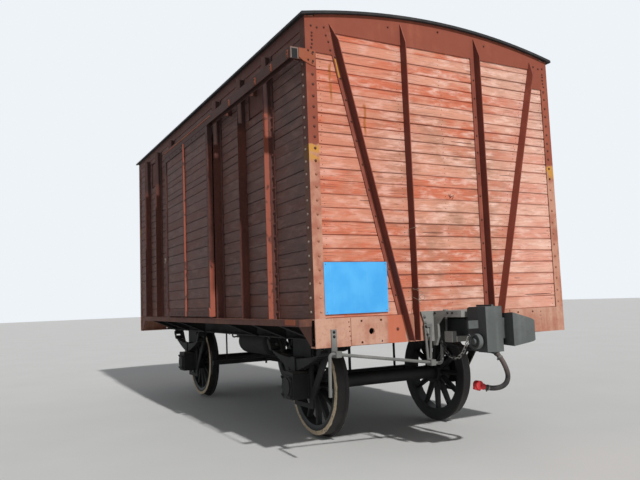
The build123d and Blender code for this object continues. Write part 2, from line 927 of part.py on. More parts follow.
# Striker castings: a plate on the sill with a ledge over the shank, and a centring beam hung from it
beam_top_z = coupler_z - shank_height / 2
beam_mid_x = half_length + 195
with BuildPart() as striker:
    with BuildSketch(Plane.YZ.offset(half_length)):
        with BuildLine():
            Polyline(
                (-striker_top_half, striker_top),
                (striker_top_half, striker_top),
                (striker_foot_half, striker_bottom),
                (-striker_foot_half, striker_bottom),
                close=True,
            )
        make_face()
    extrude(amount=striker_plate)
    with BuildSketch(Plane.XY.offset(striker_top - ledge_depth)):
        with BuildLine():
            Polyline(
                (half_length, -ledge_half_back),
                (half_length + striker_reach, -ledge_half_front),
                (half_length + striker_reach, ledge_half_front),
                (half_length, ledge_half_back),
                close=True,
            )
        make_face()
    extrude(amount=ledge_depth)
    # Cheeks: a rounded web down each side of the opening
    for side in (1, -1):
        with BuildSketch(Plane.XZ.offset(-side * (ledge_half_back - cheek_plate / 2) - cheek_plate / 2)):
            with BuildLine():
                Polyline(
                    (half_length, striker_bottom - 40),
                    (half_length + cheek_reach / 2, striker_bottom - 40),
                    (half_length + cheek_reach, striker_bottom + 40),
                    (half_length + cheek_reach, striker_top - ledge_depth - 60),
                    (half_length + cheek_reach + 60, striker_top - ledge_depth),
                    (half_length, striker_top - ledge_depth),
                    close=True,
                )
            make_face()
        extrude(amount=cheek_plate)
    # Opening for the shank
    with Locations((half_length - 10, 0, coupler_z - shank_height / 2 - 30)):
        Box(
            striker_plate + 20,
            shank_width + 120,
            shank_height + 52,
            align=(Align.MIN, Align.CENTER, Align.MIN),
            mode=Mode.SUBTRACT,
        )
    # Hangers through the ledge and the beam that they carry
    for side in (1, -1):
        with Locations((beam_mid_x - 50, side * hanger_y, beam_top_z - centring_beam_depth)):
            Cylinder(
                hanger_radius,
                striker_top + 12 - beam_top_z + centring_beam_depth,
                align=(Align.CENTER, Align.CENTER, Align.MIN),
            )
        with Locations((beam_mid_x - 50, side * hanger_y, striker_top)):
            Cylinder(2 * hanger_radius, 12, align=(Align.CENTER, Align.CENTER, Align.MIN))
        with Locations((beam_mid_x, side * hanger_y, beam_top_z - centring_beam_depth)):
            Box(
                centring_beam_width + 20,
                2 * hanger_radius + 26,
                centring_beam_depth + 46,
                align=(Align.CENTER, Align.CENTER, Align.MIN),
            )
    with Locations((beam_mid_x, 0, beam_top_z)):
        Box(
            centring_beam_width,
            2 * hanger_y,
            centring_beam_depth,
            align=(Align.CENTER, Align.CENTER, Align.MAX),
        )
with BuildPart() as striker_castings:
    add(striker.part)
    add(striker.part, rotation=(0, 0, 180))
striker_castings.part.label = "striker_castings"
export_step(striker_castings.part, "parts/striker_castings.step")

# Draft gears: a plain block between the centre sills behind each shank
with BuildPart() as draft_gears:
    for side in (1, -1):
        with Locations((side * (draft_gear_x - draft_gear_length / 2), 0, coupler_z)):
            Box(draft_gear_length, 2 * centre_sill_y, draft_gear_height)
draft_gears.part.label = "draft_gears"
export_step(draft_gears.part, "parts/draft_gears.step")

# Uncoupling levers: a bent bar that turns in two straps, one on the sill and one on the striker
with BuildPart() as lever:
    with BuildLine() as lever_path:
        FilletPolyline(
            (lever_x, handle_y - 10, handle_foot_z),
            (lever_x, handle_y, rod_high_z),
            (lever_x, rod_end_y, rod_low_z),
            crank_top,
            radius=30,
        )
    with BuildSketch(Plane(origin=lever_path.line @ 0, z_dir=lever_path.line % 0)):
        Circle(lever_radius)
    sweep()
    with Locations(Location(Plane(origin=crank_ring, x_dir=chain_way, z_dir=chain_across))):
        Torus(chain_ring_radius, ring_wire)
    with Locations(crank_top):
        Cylinder(ring_wire + 2, 2 * chain_wire + 4)
with BuildPart() as lever_brackets:
    rod_slope = (rod_low_z - rod_high_z) / (rod_end_y - handle_y)
    straps = ((outer_strap_y, half_length, False), (inner_strap_y, half_length + striker_plate, True))
    for y, base_x, split in straps:
        rod_z = rod_high_z + rod_slope * (y - handle_y)
        half_top = strap_width * (0.85 if split else 0.5)
        with BuildSketch(Plane.YZ.offset(base_x)):
            with BuildLine():
                Polyline(
                    (y - half_top, strap_top_z),
                    (y + half_top, strap_top_z),
                    (y + strap_width / 2, rod_z + strap_width / 2),
                    (y + strap_width / 2, rod_z - strap_width / 2),
                    (y - strap_width / 2, rod_z - strap_width / 2),
                    (y - strap_width / 2, rod_z + strap_width / 2),
                    close=True,
                )
            make_face()
            if split:
                with BuildLine():
                    Polyline(
                        (y - half_top / 2, strap_top_z - 30),
                        (y + half_top / 2, strap_top_z - 30),
                        (y + 5, rod_z + strap_width / 2 + 10),
                        (y - 5, rod_z + strap_width / 2 + 10),
                        close=True,
                    )
                make_face(mode=Mode.SUBTRACT)
        extrude(amount=strap_plate)
        with Locations((base_x, y, rod_z - strap_width / 2)):
            Box(
                lever_x + strap_width / 2 - base_x,
                strap_width,
                strap_width,
                align=(Align.MIN, Align.CENTER, Align.MIN),
            )
    add(lever.part, mode=Mode.SUBTRACT)
with BuildPart() as uncoupling_levers:
    for turn in (0, 180):
        add(lever.part, rotation=(0, 0, turn))
        add(lever_brackets.part, rotation=(0, 0, turn))
uncoupling_levers.part.label = "uncoupling_levers"
export_step(uncoupling_levers.part, "parts/uncoupling_levers.step")

# Chains from the levers' cranks to the couplers: links that hang on a catenary, each turned from the last
link_half = chain_link_inside / 2 - chain_link_width / 2
link_bend = (chain_link_width + chain_wire) / 2
with BuildPart() as link:
    with BuildLine() as link_path:
        Line((-link_half, link_bend), (link_half, link_bend))
        ThreePointArc((link_half, link_bend), (link_half + link_bend, 0), (link_half, -link_bend))
        Line((link_half, -link_bend), (-link_half, -link_bend))
        ThreePointArc((-link_half, -link_bend), (-link_half - link_bend, 0), (-link_half, link_bend))
    with BuildSketch(Plane(origin=(0, link_bend, 0), z_dir=(1, 0, 0))):
        Circle(chain_wire / 2)
    sweep(path=link_path.line)
with BuildPart() as one_chain:
    for number, (before, after) in enumerate(zip(chain_places, chain_places[1:])):
        pull = (after - before).normalized()
        face_way = chain_across if number % 2 else chain_across.cross(pull)
        with Locations(Location(Plane(origin=(before + after) / 2, x_dir=pull, z_dir=face_way))):
            add(link.part)
with BuildPart() as lever_chains:
    add(one_chain.part)
    add(one_chain.part, rotation=(0, 0, 180))
lever_chains.part.label = "lever_chains"
export_step(lever_chains.part, "parts/lever_chains.step")

# Brake pipe with an end cock at each end, its outlet turned down toward the hose
outlet = (Vector(*hose_points[1]) - Vector(*hose_points[0])).normalized()
pipe_bend_x = max(half_length - pipe_bend_reach, outer_post_x + bracket_flange)
with BuildPart() as half_pipe:
    with BuildLine() as pipe_path:
        FilletPolyline(
            (0, 0, pipe_z),
            (1.5 * pipe_y, pipe_y, pipe_z),
            (pipe_bend_x, pipe_y, pipe_z),
            ((pipe_bend_x + cock_x) / 2, cock_y, cock_z),
            (cock_x, cock_y, cock_z),
            radius=120,
        )
    with BuildSketch(Plane(origin=pipe_path.line @ 0, z_dir=pipe_path.line % 0)):
        Circle(pipe_radius)
    sweep()
    with BuildSketch(Plane.YZ.offset(cock_x)):
        with Locations((cock_y, cock_z)):
            Circle(cock_radius)
    extrude(amount=cock_length)
    with Locations((cock_x + cock_length, cock_y, cock_z)):
        Sphere(cock_radius + 4)
    with BuildSketch(Plane(origin=hose_points[0], z_dir=outlet)):
        Circle(cock_radius - 4)
    extrude(amount=-outlet_length)
    with BuildSketch(Plane.XY.offset(cock_z)):
        with Locations((cock_x + cock_length / 2, cock_y)):
            Circle(16)
    extrude(amount=60)
    with Locations((cock_x + cock_length / 2, cock_y, cock_z + 52)):
        Box(110, 22, 10, align=(Align.MIN, Align.CENTER, Align.MIN))
    # Straps up to the cross bearers
    for x in (door_post_x, outer_post_x):
        with Locations((x, pipe_y, pipe_z - pipe_radius - 6)):
            Box(
                14,
                40,
                underframe_top - bearer_depth - pipe_z + pipe_radius + 6,
                align=(Align.CENTER, Align.CENTER, Align.MIN),
            )
with BuildPart() as brake_pipe:
    add(half_pipe.part)
    add(half_pipe.part, rotation=(0, 0, 180))
brake_pipe.part.label = "brake_pipe"
export_step(brake_pipe.part, "parts/brake_pipe.step")

# Brake hose of the front end, from the cock down and back up to its coupling head
with BuildPart() as brake_hose:
    with BuildLine() as hose_path:
        run_start = Vector(*hose_points[0])
        for before, corner, after in zip(hose_points, hose_points[1:], hose_points[2:]):
            arrive = Vector(*corner) - Vector(*before)
            leave = Vector(*after) - Vector(*corner)
            set_back = bend_share * min(arrive.length, leave.length)
            half_turn = math.radians(arrive.get_angle(leave) / 2)
            print("hose bend radius", round(set_back / math.tan(half_turn)))
            bend_start = Vector(*corner) - arrive.normalized() * set_back
            bend_end = Vector(*corner) + leave.normalized() * set_back
            Line(run_start, bend_start)
            TangentArc(bend_start, bend_end, tangent=arrive)
            run_start = bend_end
        Line(run_start, hose_points[-1])
    with BuildSketch(Plane(origin=hose_path.line @ 0, z_dir=hose_path.line % 0)):
        Circle(hose_diameter / 2)
    sweep(path=hose_path.line)
print("hose length", round(hose_path.wire().length))
brake_hose.part.label = "brake_hose"
export_step(brake_hose.part, "parts/brake_hose.step")

# Coupling head on the hose's end: a clamped neck, a flat round head and its claw
head_way = hose_path.line % 1
head_start = hose_path.line @ 1
head_middle = head_start + head_way * coupling_length * 0.62
with BuildPart() as hose_coupling:
    with BuildSketch(Plane(origin=head_start, x_dir=(1, 0, 0), z_dir=head_way)):
        Circle(hose_diameter / 2 + clamp_rise)
    extrude(amount=coupling_length * 0.45)
    with BuildSketch(Plane(origin=head_middle, x_dir=head_way, z_dir=(1, 0, 0))):
        Circle(coupling_radius)
    extrude(amount=coupling_half, both=True)
    with BuildSketch(Plane(origin=head_middle, x_dir=head_way, z_dir=(1, 0, 0))):
        with Locations((8, 34)):
            RectangleRounded(claw_length, claw_width, claw_corner)
    extrude(amount=claw_half, both=True)
hose_coupling.part.label = "hose_coupling"
export_step(hose_coupling.part, "parts/hose_coupling.step")

# Brake cylinder and air reservoir, hung from two of the cross bearers
bearer_bottom = underframe_top - bearer_depth
tank_mid_x = sum(tank_bearer_x) / 2
cover_x = tank_mid_x + cylinder_length / 2
piston_face_x = cover_x + cylinder_cover + cylinder_nose
with BuildPart() as brake_cylinder:
    with BuildSketch(Plane.YZ.offset(tank_mid_x - cylinder_length / 2)):
        with Locations((cylinder_y, cylinder_z)):
            Circle(cylinder_radius)
    extrude(amount=cylinder_length)
    with BuildSketch(Plane.YZ.offset(cover_x)):
        with Locations((cylinder_y, cylinder_z)):
            Circle(cylinder_radius + 22)
    extrude(amount=cylinder_cover)
    with BuildSketch(Plane.YZ.offset(cover_x + cylinder_cover)):
        with Locations((cylinder_y, cylinder_z)):
            Circle(cylinder_radius - 20)
    extrude(amount=cylinder_nose, taper=25)
    with Locations(*[(x, cylinder_y, bearer_bottom) for x in tank_bearer_x]):
        Box(60, 200, bearer_bottom - cylinder_z, align=(Align.CENTER, Align.CENTER, Align.MAX))
brake_cylinder.part.label = "brake_cylinder"
export_step(brake_cylinder.part, "parts/brake_cylinder.step")

with BuildPart() as air_reservoir:
    with BuildSketch(Plane.YZ.offset(tank_mid_x - reservoir_length / 2)):
        with Locations((-cylinder_y, cylinder_z)):
            Circle(reservoir_radius)
    extrude(amount=reservoir_length)
    fillet(air_reservoir.edges().filter_by(GeomType.CIRCLE), 70)
    with Locations(*[(x, -cylinder_y, bearer_bottom) for x in tank_bearer_x]):
        Box(60, 200, bearer_bottom - cylinder_z, align=(Align.CENTER, Align.CENTER, Align.MAX))
air_reservoir.part.label = "air_reservoir"
export_step(air_reservoir.part, "parts/air_reservoir.step")

# Brake beams, each across the inner side of a wheelset, with hangers, levers and pull rods
brake_lever_x = beam_x - beam_size / 2 - brake_lever_plate / 2
pull_rod_z = cylinder_z
with BuildPart() as brake_rigging:
    for side in (1, -1):
        with Locations((side * beam_x, 0, axle_z)):
            Box(beam_size, 2 * (shoe_y + shoe_width / 2), beam_size)
        for hanger_side in (1, -1):
            with Locations((side * beam_x, hanger_side * beam_hanger_y, axle_z + beam_size / 2)):
                Box(
                    30,
                    14,
                    underframe_top - bearer_depth - axle_z - beam_size / 2,
                    align=(Align.CENTER, Align.CENTER, Align.MIN),
                )
        with Locations((side * brake_lever_x, 0, axle_z - 60)):
            Box(
                brake_lever_width / 2,
                brake_lever_plate,
                pull_rod_z - axle_z + 100,
                align=(Align.CENTER, Align.CENTER, Align.MIN),
            )
    for z in (axle_z, pull_rod_z):
        with BuildSketch(Plane.YZ.offset(-brake_lever_x)):
            with Locations((0, z)):
                Circle(brake_rod_radius)
        extrude(amount=2 * brake_lever_x)
    # Cross lever from the cylinder's piston rod to the pull rod
    with Locations((piston_face_x + brake_lever_width, cylinder_y / 2 + 10, pull_rod_z)):
        Box(brake_lever_width, cylinder_y + 80, brake_lever_plate)
    with BuildSketch(Plane.YZ.offset(piston_face_x)):
        with Locations((cylinder_y, pull_rod_z)):
            Circle(brake_rod_radius)
    extrude(amount=brake_lever_width)
brake_rigging.part.label = "brake_rigging"
export_step(brake_rigging.part, "parts/brake_rigging.step")

with BuildPart() as brake_shoe:
    with BuildSketch(Plane.XZ.offset(-shoe_y - shoe_width / 2)):
        with BuildLine():
            face = CenterArc((wheelbase / 2, axle_z), shoe_inner, 180 - shoe_half_angle, 2 * shoe_half_angle)
            back = CenterArc((wheelbase / 2, axle_z), shoe_outer, 180 - shoe_half_angle, 2 * shoe_half_angle)
            Line(face @ 0, back @ 0)
            Line(face @ 1, back @ 1)
        make_face()
    extrude(amount=shoe_width)
with BuildPart() as brake_shoes:
    add(brake_shoe.part)
    mirror(about=Plane.XZ)
    mirror(about=Plane.YZ)
brake_shoes.part.label = "brake_shoes"
export_step(brake_shoes.part, "parts/brake_shoes.step")

# Corner posts
post_top = roof_under(half_width)
with BuildPart() as corner_posts:
    with Locations(Location((half_length, half_width, underframe_top), (0, 0, 180))):
        add(angle_bar(post_top - underframe_top, corner_leg, corner_leg, post_plate))
    mirror(about=Plane.XZ)
    mirror(about=Plane.YZ)
corner_posts.part.label = "corner_posts"
export_step(corner_posts.part, "parts/corner_posts.step")

# End heads: an arched plate with a deeper gusset at each corner, between the corner posts
head_half = half_width - corner_leg
head_bottom = roof_under(0) - head_depth
gusset_bottom = head_bottom - head_gusset_depth


def brace_edge(z):
    """Distance from the middle to a brace's outer edge at a height z."""
    return brace_foot_y + post_flange + brace_slope * (z - underframe_top)


with BuildPart() as end_heads:
    for side in (1, -1):
        with BuildSketch(Plane.YZ.offset(side * (half_length - post_plate / 2) - post_plate / 2)):
            with BuildLine():
                crown = ThreePointArc(
                    (-head_half, roof_under(head_half)),
                    (0, roof_under(0)),
                    (head_half, roof_under(head_half)),
                )
                Polyline(
                    crown @ 1,
                    (head_half, gusset_bottom),
                    (brace_edge(gusset_bottom), gusset_bottom),
                    (brace_edge(head_bottom), head_bottom),
                    (-brace_edge(head_bottom), head_bottom),
                    (-brace_edge(gusset_bottom), gusset_bottom),
                    (-head_half, gusset_bottom),
                    crown @ 0,
                )
            make_face()
        extrude(amount=post_plate)
end_heads.part.label = "end_heads"
export_step(end_heads.part, "parts/end_heads.step")

# End posts: two uprights and two braces on each end, their feet on the face of the sill
end_post_table = [
    ("upright", end_post_y, 0, -1),
    ("brace", brace_foot_y, brace_slope, 1),
]
web_end = wall_x + post_web
with BuildPart() as quarter_end_posts:
    for _, foot_y, slope, direction in end_post_table:
        foot_top = underframe_top + post_foot_lap
        stretches = ((wall_x, underframe_top, head_bottom), (half_length, post_foot_z, foot_top))
        for back_x, low, high in stretches:
            for width, reach in ((post_flange, post_plate), (post_plate, web_end - back_x)):
                low_y = foot_y + slope * (low - underframe_top)
                high_y = foot_y + slope * (high - underframe_top)
                with BuildSketch(Plane.YZ.offset(back_x)):
                    with BuildLine():
                        Polyline(
                            (low_y, low),
                            (low_y + direction * width, low),
                            (high_y + direction * width, high),
                            (high_y, high),
                            close=True,
                        )
                    make_face()
                extrude(amount=reach)
with BuildPart() as end_posts:
    add(quarter_end_posts.part)
    mirror(about=Plane.XZ)
    mirror(about=Plane.YZ)
end_posts.part.label = "end_posts"
export_step(end_posts.part, "parts/end_posts.step")

# Side posts: three to each side of a doorway, cut back where the door guide passes
guide_outer = door_face - (door_thickness - guide_width) / 2
guide_inner = guide_outer - guide_width
guide_bottom = guide_top - guide_height
cant_rail_bottom = roof_under(half_width) - cant_rail_depth
with BuildPart() as quarter_posts:
    for _, x, direction in side_post_table:
        with BuildSketch(Plane.XY.offset(underframe_top)):
            with Locations((x, wall_y)):
                Rectangle(
                    post_flange,
                    post_plate,
                    align=(Align.MIN if direction > 0 else Align.MAX, Align.MIN),
                )
                Rectangle(
                    post_plate,
                    post_web,
                    align=(Align.MIN if direction > 0 else Align.MAX, Align.MIN),
                )
        extrude(amount=cant_rail_bottom - underframe_top)
    with Locations((side_post_table[1][1], guide_inner, guide_bottom)):
        Box(
            4 * door_post_x,
            post_web,
            guide_height,
            align=(Align.CENTER, Align.MIN, Align.MIN),
            mode=Mode.SUBTRACT,
        )
with BuildPart() as side_posts:
    add(quarter_posts.part)
    mirror(about=Plane.YZ)
    mirror(about=Plane.XZ)
side_posts.part.label = "side_posts"
export_step(side_posts.part, "parts/side_posts.step")

# Cant rails along the tops of the side walls
with BuildPart() as cant_rails:
    with BuildSketch(Plane.YZ.offset(corner_leg - half_length)):
        with BuildLine():
            Polyline(
                (wall_y, cant_rail_bottom),
                (half_width, cant_rail_bottom),
                (half_width, roof_under(half_width)),
                (wall_y, roof_under(wall_y)),
                close=True,
            )
        make_face()
    extrude(amount=2 * (half_length - corner_leg))
    mirror(about=Plane.XZ)
cant_rails.part.label = "cant_rails"
export_step(cant_rails.part, "parts/cant_rails.step")

# End walls
with BuildPart() as end_wall_front:
    with Locations(Location((wall_x, wall_y, 0), (0, 0, -90))):
        add(boards(2 * wall_y, underframe_top, roof_crown, board_thickness))
    with BuildSketch(Plane.YZ.offset(wall_back_x)):
        with BuildLine():
            eave_z = roof_under(wall_y)
            crown = ThreePointArc((-wall_y, eave_z), (0, roof_under(0)), (wall_y, eave_z))
            Polyline(crown @ 1, (wall_y, underframe_top), (-wall_y, underframe_top), crown @ 0)
        make_face()
    extrude(amount=board_thickness, mode=Mode.INTERSECT)
end_wall_front.part.label = "end_wall_front"
export_step(end_wall_front.part, "parts/end_wall_front.step")

with BuildPart() as end_wall_rear:
    add(end_wall_front.part, rotation=(0, 0, 180))
end_wall_rear.part.label = "end_wall_rear"
export_step(end_wall_rear.part, "parts/end_wall_rear.step")

# Side walls: a panel on each side of the doorway, with a hatch opening near the top
wall_top = roof_under(wall_y)
panel_length = wall_back_x - door_opening_half
with BuildPart() as side_wall_right:
    for start, middle in ((door_opening_half, hatch_x), (-wall_back_x, -hatch_x)):
        with Locations((start, wall_y, 0)):
            add(boards(panel_length, underframe_top, wall_top, board_thickness))
        with Locations((middle, wall_y, hatch_bottom)):
            Box(
                hatch_width,
                board_thickness,
                hatch_height,
                align=(Align.CENTER, Align.MAX, Align.MIN),
                mode=Mode.SUBTRACT,
            )
side_wall_right.part.label = "side_wall_right"
export_step(side_wall_right.part, "parts/side_wall_right.step")

with BuildPart() as side_wall_left:
    add(side_wall_right.part, rotation=(0, 0, 180))
side_wall_left.part.label = "side_wall_left"
export_step(side_wall_left.part, "parts/side_wall_left.step")

# Boards over the doorways
with BuildPart() as door_headers:
    with Locations((-door_opening_half, wall_y, 0)):
        add(boards(2 * door_opening_half, door_opening_top, wall_top, board_thickness))
    mirror(about=Plane.XZ)
door_headers.part.label = "door_headers"
export_step(door_headers.part, "parts/door_headers.step")

# Doors: boards in a steel frame with stiles, rims and a stiffener, rollers below and a tongue above
door_top = guide_bottom - door_guide_gap
door_boards_half = door_half_width - door_frame_width
roller_x = door_half_width - door_frame_width / 2
roller_z = rail_top + seat_gap + wheel_roller_radius
with BuildPart() as door_right_boards:
    with Locations((-door_boards_half, door_face, 0)):
        add(boards(2 * door_boards_half, door_bottom, door_top, door_thickness))
door_right_boards.part.label = "door_right_boards"
export_step(door_right_boards.part, "parts/door_right_boards.step")

with BuildPart() as door_left_boards:
    add(door_right_boards.part, rotation=(0, 0, 180))
door_left_boards.part.label = "door_left_boards"
export_step(door_left_boards.part, "parts/door_left_boards.step")

with BuildPart() as door_right_frame:
    for side in (1, -1):
        with Locations((side * roller_x, door_back, door_bottom)):
            Box(
                door_frame_width,
                door_thickness,
                door_top - door_bottom,
                align=(Align.CENTER, Align.MIN, Align.MIN),
            )
    # Rims along the foot and the head of the boards, and the stiffener with its upright web
    for rim_z in (door_bottom, door_top - door_rim_width):
        with Locations((0, door_face, rim_z)):
            Box(
                2 * door_half_width,
                door_frame_proud,
                door_rim_width,
                align=(Align.CENTER, Align.MIN, Align.MIN),
            )
    for side in (1, -1):
        with Locations((side * (door_half_width - door_rim_width / 2), door_face, door_bottom)):
            Box(
                door_rim_width,
                door_frame_proud,
                door_top - door_bottom,
                align=(Align.CENTER, Align.MIN, Align.MIN),
            )
    with Locations((0, door_face, door_bottom)):
        Box(
            door_rim_width,
            door_frame_proud,
            door_top - door_bottom,
            align=(Align.MIN, Align.MIN, Align.MIN),
        )
        Box(
            post_plate,
            stiffener_web,
            door_top - door_bottom,
            align=(Align.MIN, Align.MIN, Align.MIN),
        )
    with Locations((0, (guide_inner + guide_outer) / 2, door_top)):
        Box(
            2 * door_half_width,
            door_tongue,
            guide_height - guide_plate - 6,
            align=(Align.CENTER, Align.CENTER, Align.MIN),
        )
    # Rollers with their covers and pins
    for side in (1, -1):
        with BuildSketch(Plane.XZ.offset(-(door_back + door_thickness / 2 + 12))):
            with Locations((side * roller_x, roller_z)):
                Circle(wheel_roller_radius)
        extrude(amount=24)
        with BuildSketch(Plane.XZ.offset(-(door_face + stiffener_web))):
            with Locations((side * roller_x, door_bottom)):
                Rectangle(roller_cover_width, roller_cover_height / 2, align=(Align.CENTER, Align.MIN))
            with Locations((side * roller_x, door_bottom + roller_cover_height / 2)):
                Circle(roller_cover_width / 2)
        extrude(amount=stiffener_web)
door_right_frame.part.label = "door_right_frame"
export_step(door_right_frame.part, "parts/door_right_frame.step")

with BuildPart() as door_left_frame:
    add(door_right_frame.part, rotation=(0, 0, 180))
door_left_frame.part.label = "door_left_frame"
export_step(door_left_frame.part, "parts/door_left_frame.step")

# Bottom rails of the doors, on brackets
rail_start = -door_half_width
with BuildPart() as left_rail:
    with Locations((rail_start, -(door_back + door_thickness / 2 - rail_plate / 2), rail_top)):
        Box(rail_end - rail_start, rail_plate, rail_height, align=(Align.MIN, Align.MAX, Align.MAX))
    rail_bracket_x = (60 - door_post_x, 0, door_post_x + 60, inner_post_x, outer_post_x)
    rail_bracket_table = [(x, wall_y) for x in rail_bracket_x]
    for x, bracket_start in rail_bracket_table + [(rail_end - rail_bracket / 2, half_width)]:
        with Locations((x, -bracket_start, rail_top)):
            Box(
                rail_bracket,
                door_back + door_thickness / 2 - bracket_start - rail_plate / 2,
                rail_height,
                align=(Align.CENTER, Align.MAX, Align.MAX),
            )
with BuildPart() as door_rails:
    add(left_rail.part)
    add(left_rail.part, rotation=(0, 0, 180))
door_rails.part.label = "door_rails"
export_step(door_rails.part, "parts/door_rails.step")

# Top guides of the doors: an inverted channel held at the posts
with BuildPart() as left_guide:
    with Locations((-door_half_width - 20, -guide_inner, guide_bottom)):
        Box(
            half_length + door_half_width + 20,
            guide_width,
            guide_height,
            align=(Align.MIN, Align.MAX, Align.MIN),
        )
    with Locations((0, -(guide_inner + guide_outer) / 2, guide_bottom)):
        Box(
            4 * half_length,
            guide_width - 2 * guide_plate,
            guide_height - guide_plate,
            align=(Align.CENTER, Align.CENTER, Align.MIN),
            mode=Mode.SUBTRACT,
        )
    guide_mid_x = (door_post_x + inner_post_x) / 2
    for bracket_x, bracket_y in (
        (half_length - 60, half_width),
        (hatch_x, wall_y),
        (guide_mid_x, wall_y),
        (0, wall_y),
        (-door_half_width, wall_y),
    ):
        with Locations((bracket_x, -bracket_y, guide_bottom)):
            Box(12, guide_inner - bracket_y, guide_height, align=(Align.CENTER, Align.MAX, Align.MIN))
    # Plate across the near end, with its foot turned down past the guide
    with Locations((half_length, -half_width, guide_top)):
        Box(
            guide_plate,
            guide_outer - half_width + 4,
            guide_height + 12,
            align=(Align.MAX, Align.MAX, Align.MAX),
        )
with BuildPart() as door_guides:
    add(left_guide.part)
    add(left_guide.part, rotation=(0, 0, 180))
door_guides.part.label = "door_guides"
export_step(door_guides.part, "parts/door_guides.step")

# Hatch covers: a pressed plate behind each opening, hung from a pin along its top
hinge_z = hatch_bottom + hatch_height + hatch_lap
hinge_y = wall_back_y - hinge_eye_radius - 2
cover_front = wall_back_y - seat_gap
cover_half = hatch_width / 2 + hatch_lap
press_half = hatch_width / 2 - hatch_gap
with BuildPart() as hatch_cover:
    with Locations((0, cover_front, hatch_bottom - hatch_lap)):
        Box(
            2 * cover_half,
            hatch_plate,
            hinge_z - hatch_bottom + hatch_lap,
            align=(Align.CENTER, Align.MAX, Align.MIN),
        )
    with BuildSketch(Plane.XZ.offset(-cover_front)):
        with Locations((0, hatch_bottom + hatch_height / 2)):
            RectangleRounded(2 * press_half, hatch_height - 2 * hatch_gap, 30)
    extrude(amount=-board_thickness + 10, taper=12)
    with BuildSketch(Plane.YZ.offset(-cover_half)):
        with Locations((hinge_y, hinge_z)):
            Circle(hinge_eye_radius)
    extrude(amount=2 * cover_half)
    with BuildSketch(Plane.YZ.offset(-cover_half)):
        with Locations((hinge_y, hinge_z)):
            Circle(hinge_pin_radius + bearing_gap)
    extrude(amount=2 * cover_half, mode=Mode.SUBTRACT)
hatch_places = [("front_right", 1, 1), ("rear_right", -1, 1), ("front_left", 1, -1), ("rear_left", -1, -1)]
for place, sx, side in hatch_places:
    with BuildPart() as hatch:
        with Locations((sx * hatch_x, 0, 0)):
            add(hatch_cover.part if side > 0 else mirror(hatch_cover.part, about=Plane.XZ, mode=Mode.PRIVATE))
    hatch.part.label = f"hatch_{place}"
    export_step(hatch.part, f"parts/hatch_{place}.step")

# Hinge pins of the covers, with a staple into the wall at each end
with BuildPart() as hatch_hinges:
    for sx in (1, -1):
        with BuildSketch(Plane.YZ.offset(sx * hatch_x - cover_half - staple_reach)):
            with Locations((hinge_y, hinge_z)):
                Circle(hinge_pin_radius)
        extrude(amount=2 * (cover_half + staple_reach))
        for end in (1, -1):
            with Locations((sx * hatch_x + end * (cover_half + staple_reach - 6), wall_back_y, hinge_z)):
                Box(
                    12,
                    wall_back_y - hinge_y + hinge_pin_radius,
                    2 * hinge_pin_radius,
                    align=(Align.CENTER, Align.MAX, Align.CENTER),
                )
    mirror(about=Plane.XZ)
hatch_hinges.part.label = "hatch_hinges"
export_step(hatch_hinges.part, "parts/hatch_hinges.step")

# Carlines: arched ribs that carry the roof
with BuildPart() as carlines:
    for x in [0] + bearer_x:
        with BuildSketch(Plane.YZ.offset(x - carline_width / 2)):
            with BuildLine():
                over = ThreePointArc(
                    (-wall_back_y, roof_under(wall_back_y)),
                    (0, roof_under(0)),
                    (wall_back_y, roof_under(wall_back_y)),
                )
                under = ThreePointArc(
                    (-wall_back_y, roof_under(wall_back_y) - carline_depth),
                    (0, roof_under(0) - carline_depth),
                    (wall_back_y, roof_under(wall_back_y) - carline_depth),
                )
                Line(over @ 0, under @ 0)
                Line(over @ 1, under @ 1)
            make_face()
        extrude(amount=carline_width)
carlines.part.label = "carlines"
export_step(carlines.part, "parts/carlines.step")

# Roof
def roof_outside(radius, y):
    """Height of an arc of that radius over the roof at a distance y from the middle."""
    return roof_centre_z + math.sqrt(radius**2 - y**2)


roof_half_width = half_width + roof_side_overhang
roof_half_length = half_length + roof_end_overhang
with BuildPart() as roof:
    with BuildSketch(Plane.YZ.offset(-roof_half_length)):
        with BuildLine():
            edge_z = roof_outside(roof_radius - cover_strip_rise, roof_half_width)
            outside = ThreePointArc(
                (-roof_half_width, edge_z),
                (0, roof_crown - cover_strip_rise),
                (roof_half_width, edge_z),
            )
            inside = ThreePointArc(
                (-roof_half_width, roof_under(roof_half_width)),
                (0, roof_under(0)),
                (roof_half_width, roof_under(roof_half_width)),
            )
            Line(outside @ 0, inside @ 0)
            Line(outside @ 1, inside @ 1)
        make_face()
    extrude(amount=2 * roof_half_length)
    # Cover strips over the seams between the sheets
    strip_half_width = roof_half_width - 6
    for number in range(cover_strip_count):
        strip_x = roof_half_length * (2 * number / (cover_strip_count - 1) - 1)
        strip_x -= cover_strip_width / 2 if number else 0
        strip_x -= cover_strip_width / 2 if number == cover_strip_count - 1 else 0
        with BuildSketch(Plane.YZ.offset(strip_x)):
            with BuildLine():
                strip_edge_z = roof_outside(roof_radius, strip_half_width)
                for drop in (0, 2 * cover_strip_rise):
                    ThreePointArc(
                        (-strip_half_width, strip_edge_z - drop),
                        (0, roof_crown - drop),
                        (strip_half_width, strip_edge_z - drop),
                    )
                for edge_y in (-strip_half_width, strip_half_width):
                    Line((edge_y, strip_edge_z), (edge_y, strip_edge_z - 2 * cover_strip_rise))
            make_face()
        extrude(amount=cover_strip_width)
roof.part.label = "roof"
export_step(roof.part, "parts/roof.step")
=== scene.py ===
"""Looks of a weathered two-axle covered goods wagon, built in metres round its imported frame.

+X points to the front end, the one with the brake hose, and the left side is the -Y one.
"""

from __future__ import annotations

import logging
import math
import random
from dataclasses import dataclass
from enum import Enum
from functools import reduce
from typing import Callable, Iterator, Sequence

import bmesh
import bpy
from mathutils import Matrix, Vector


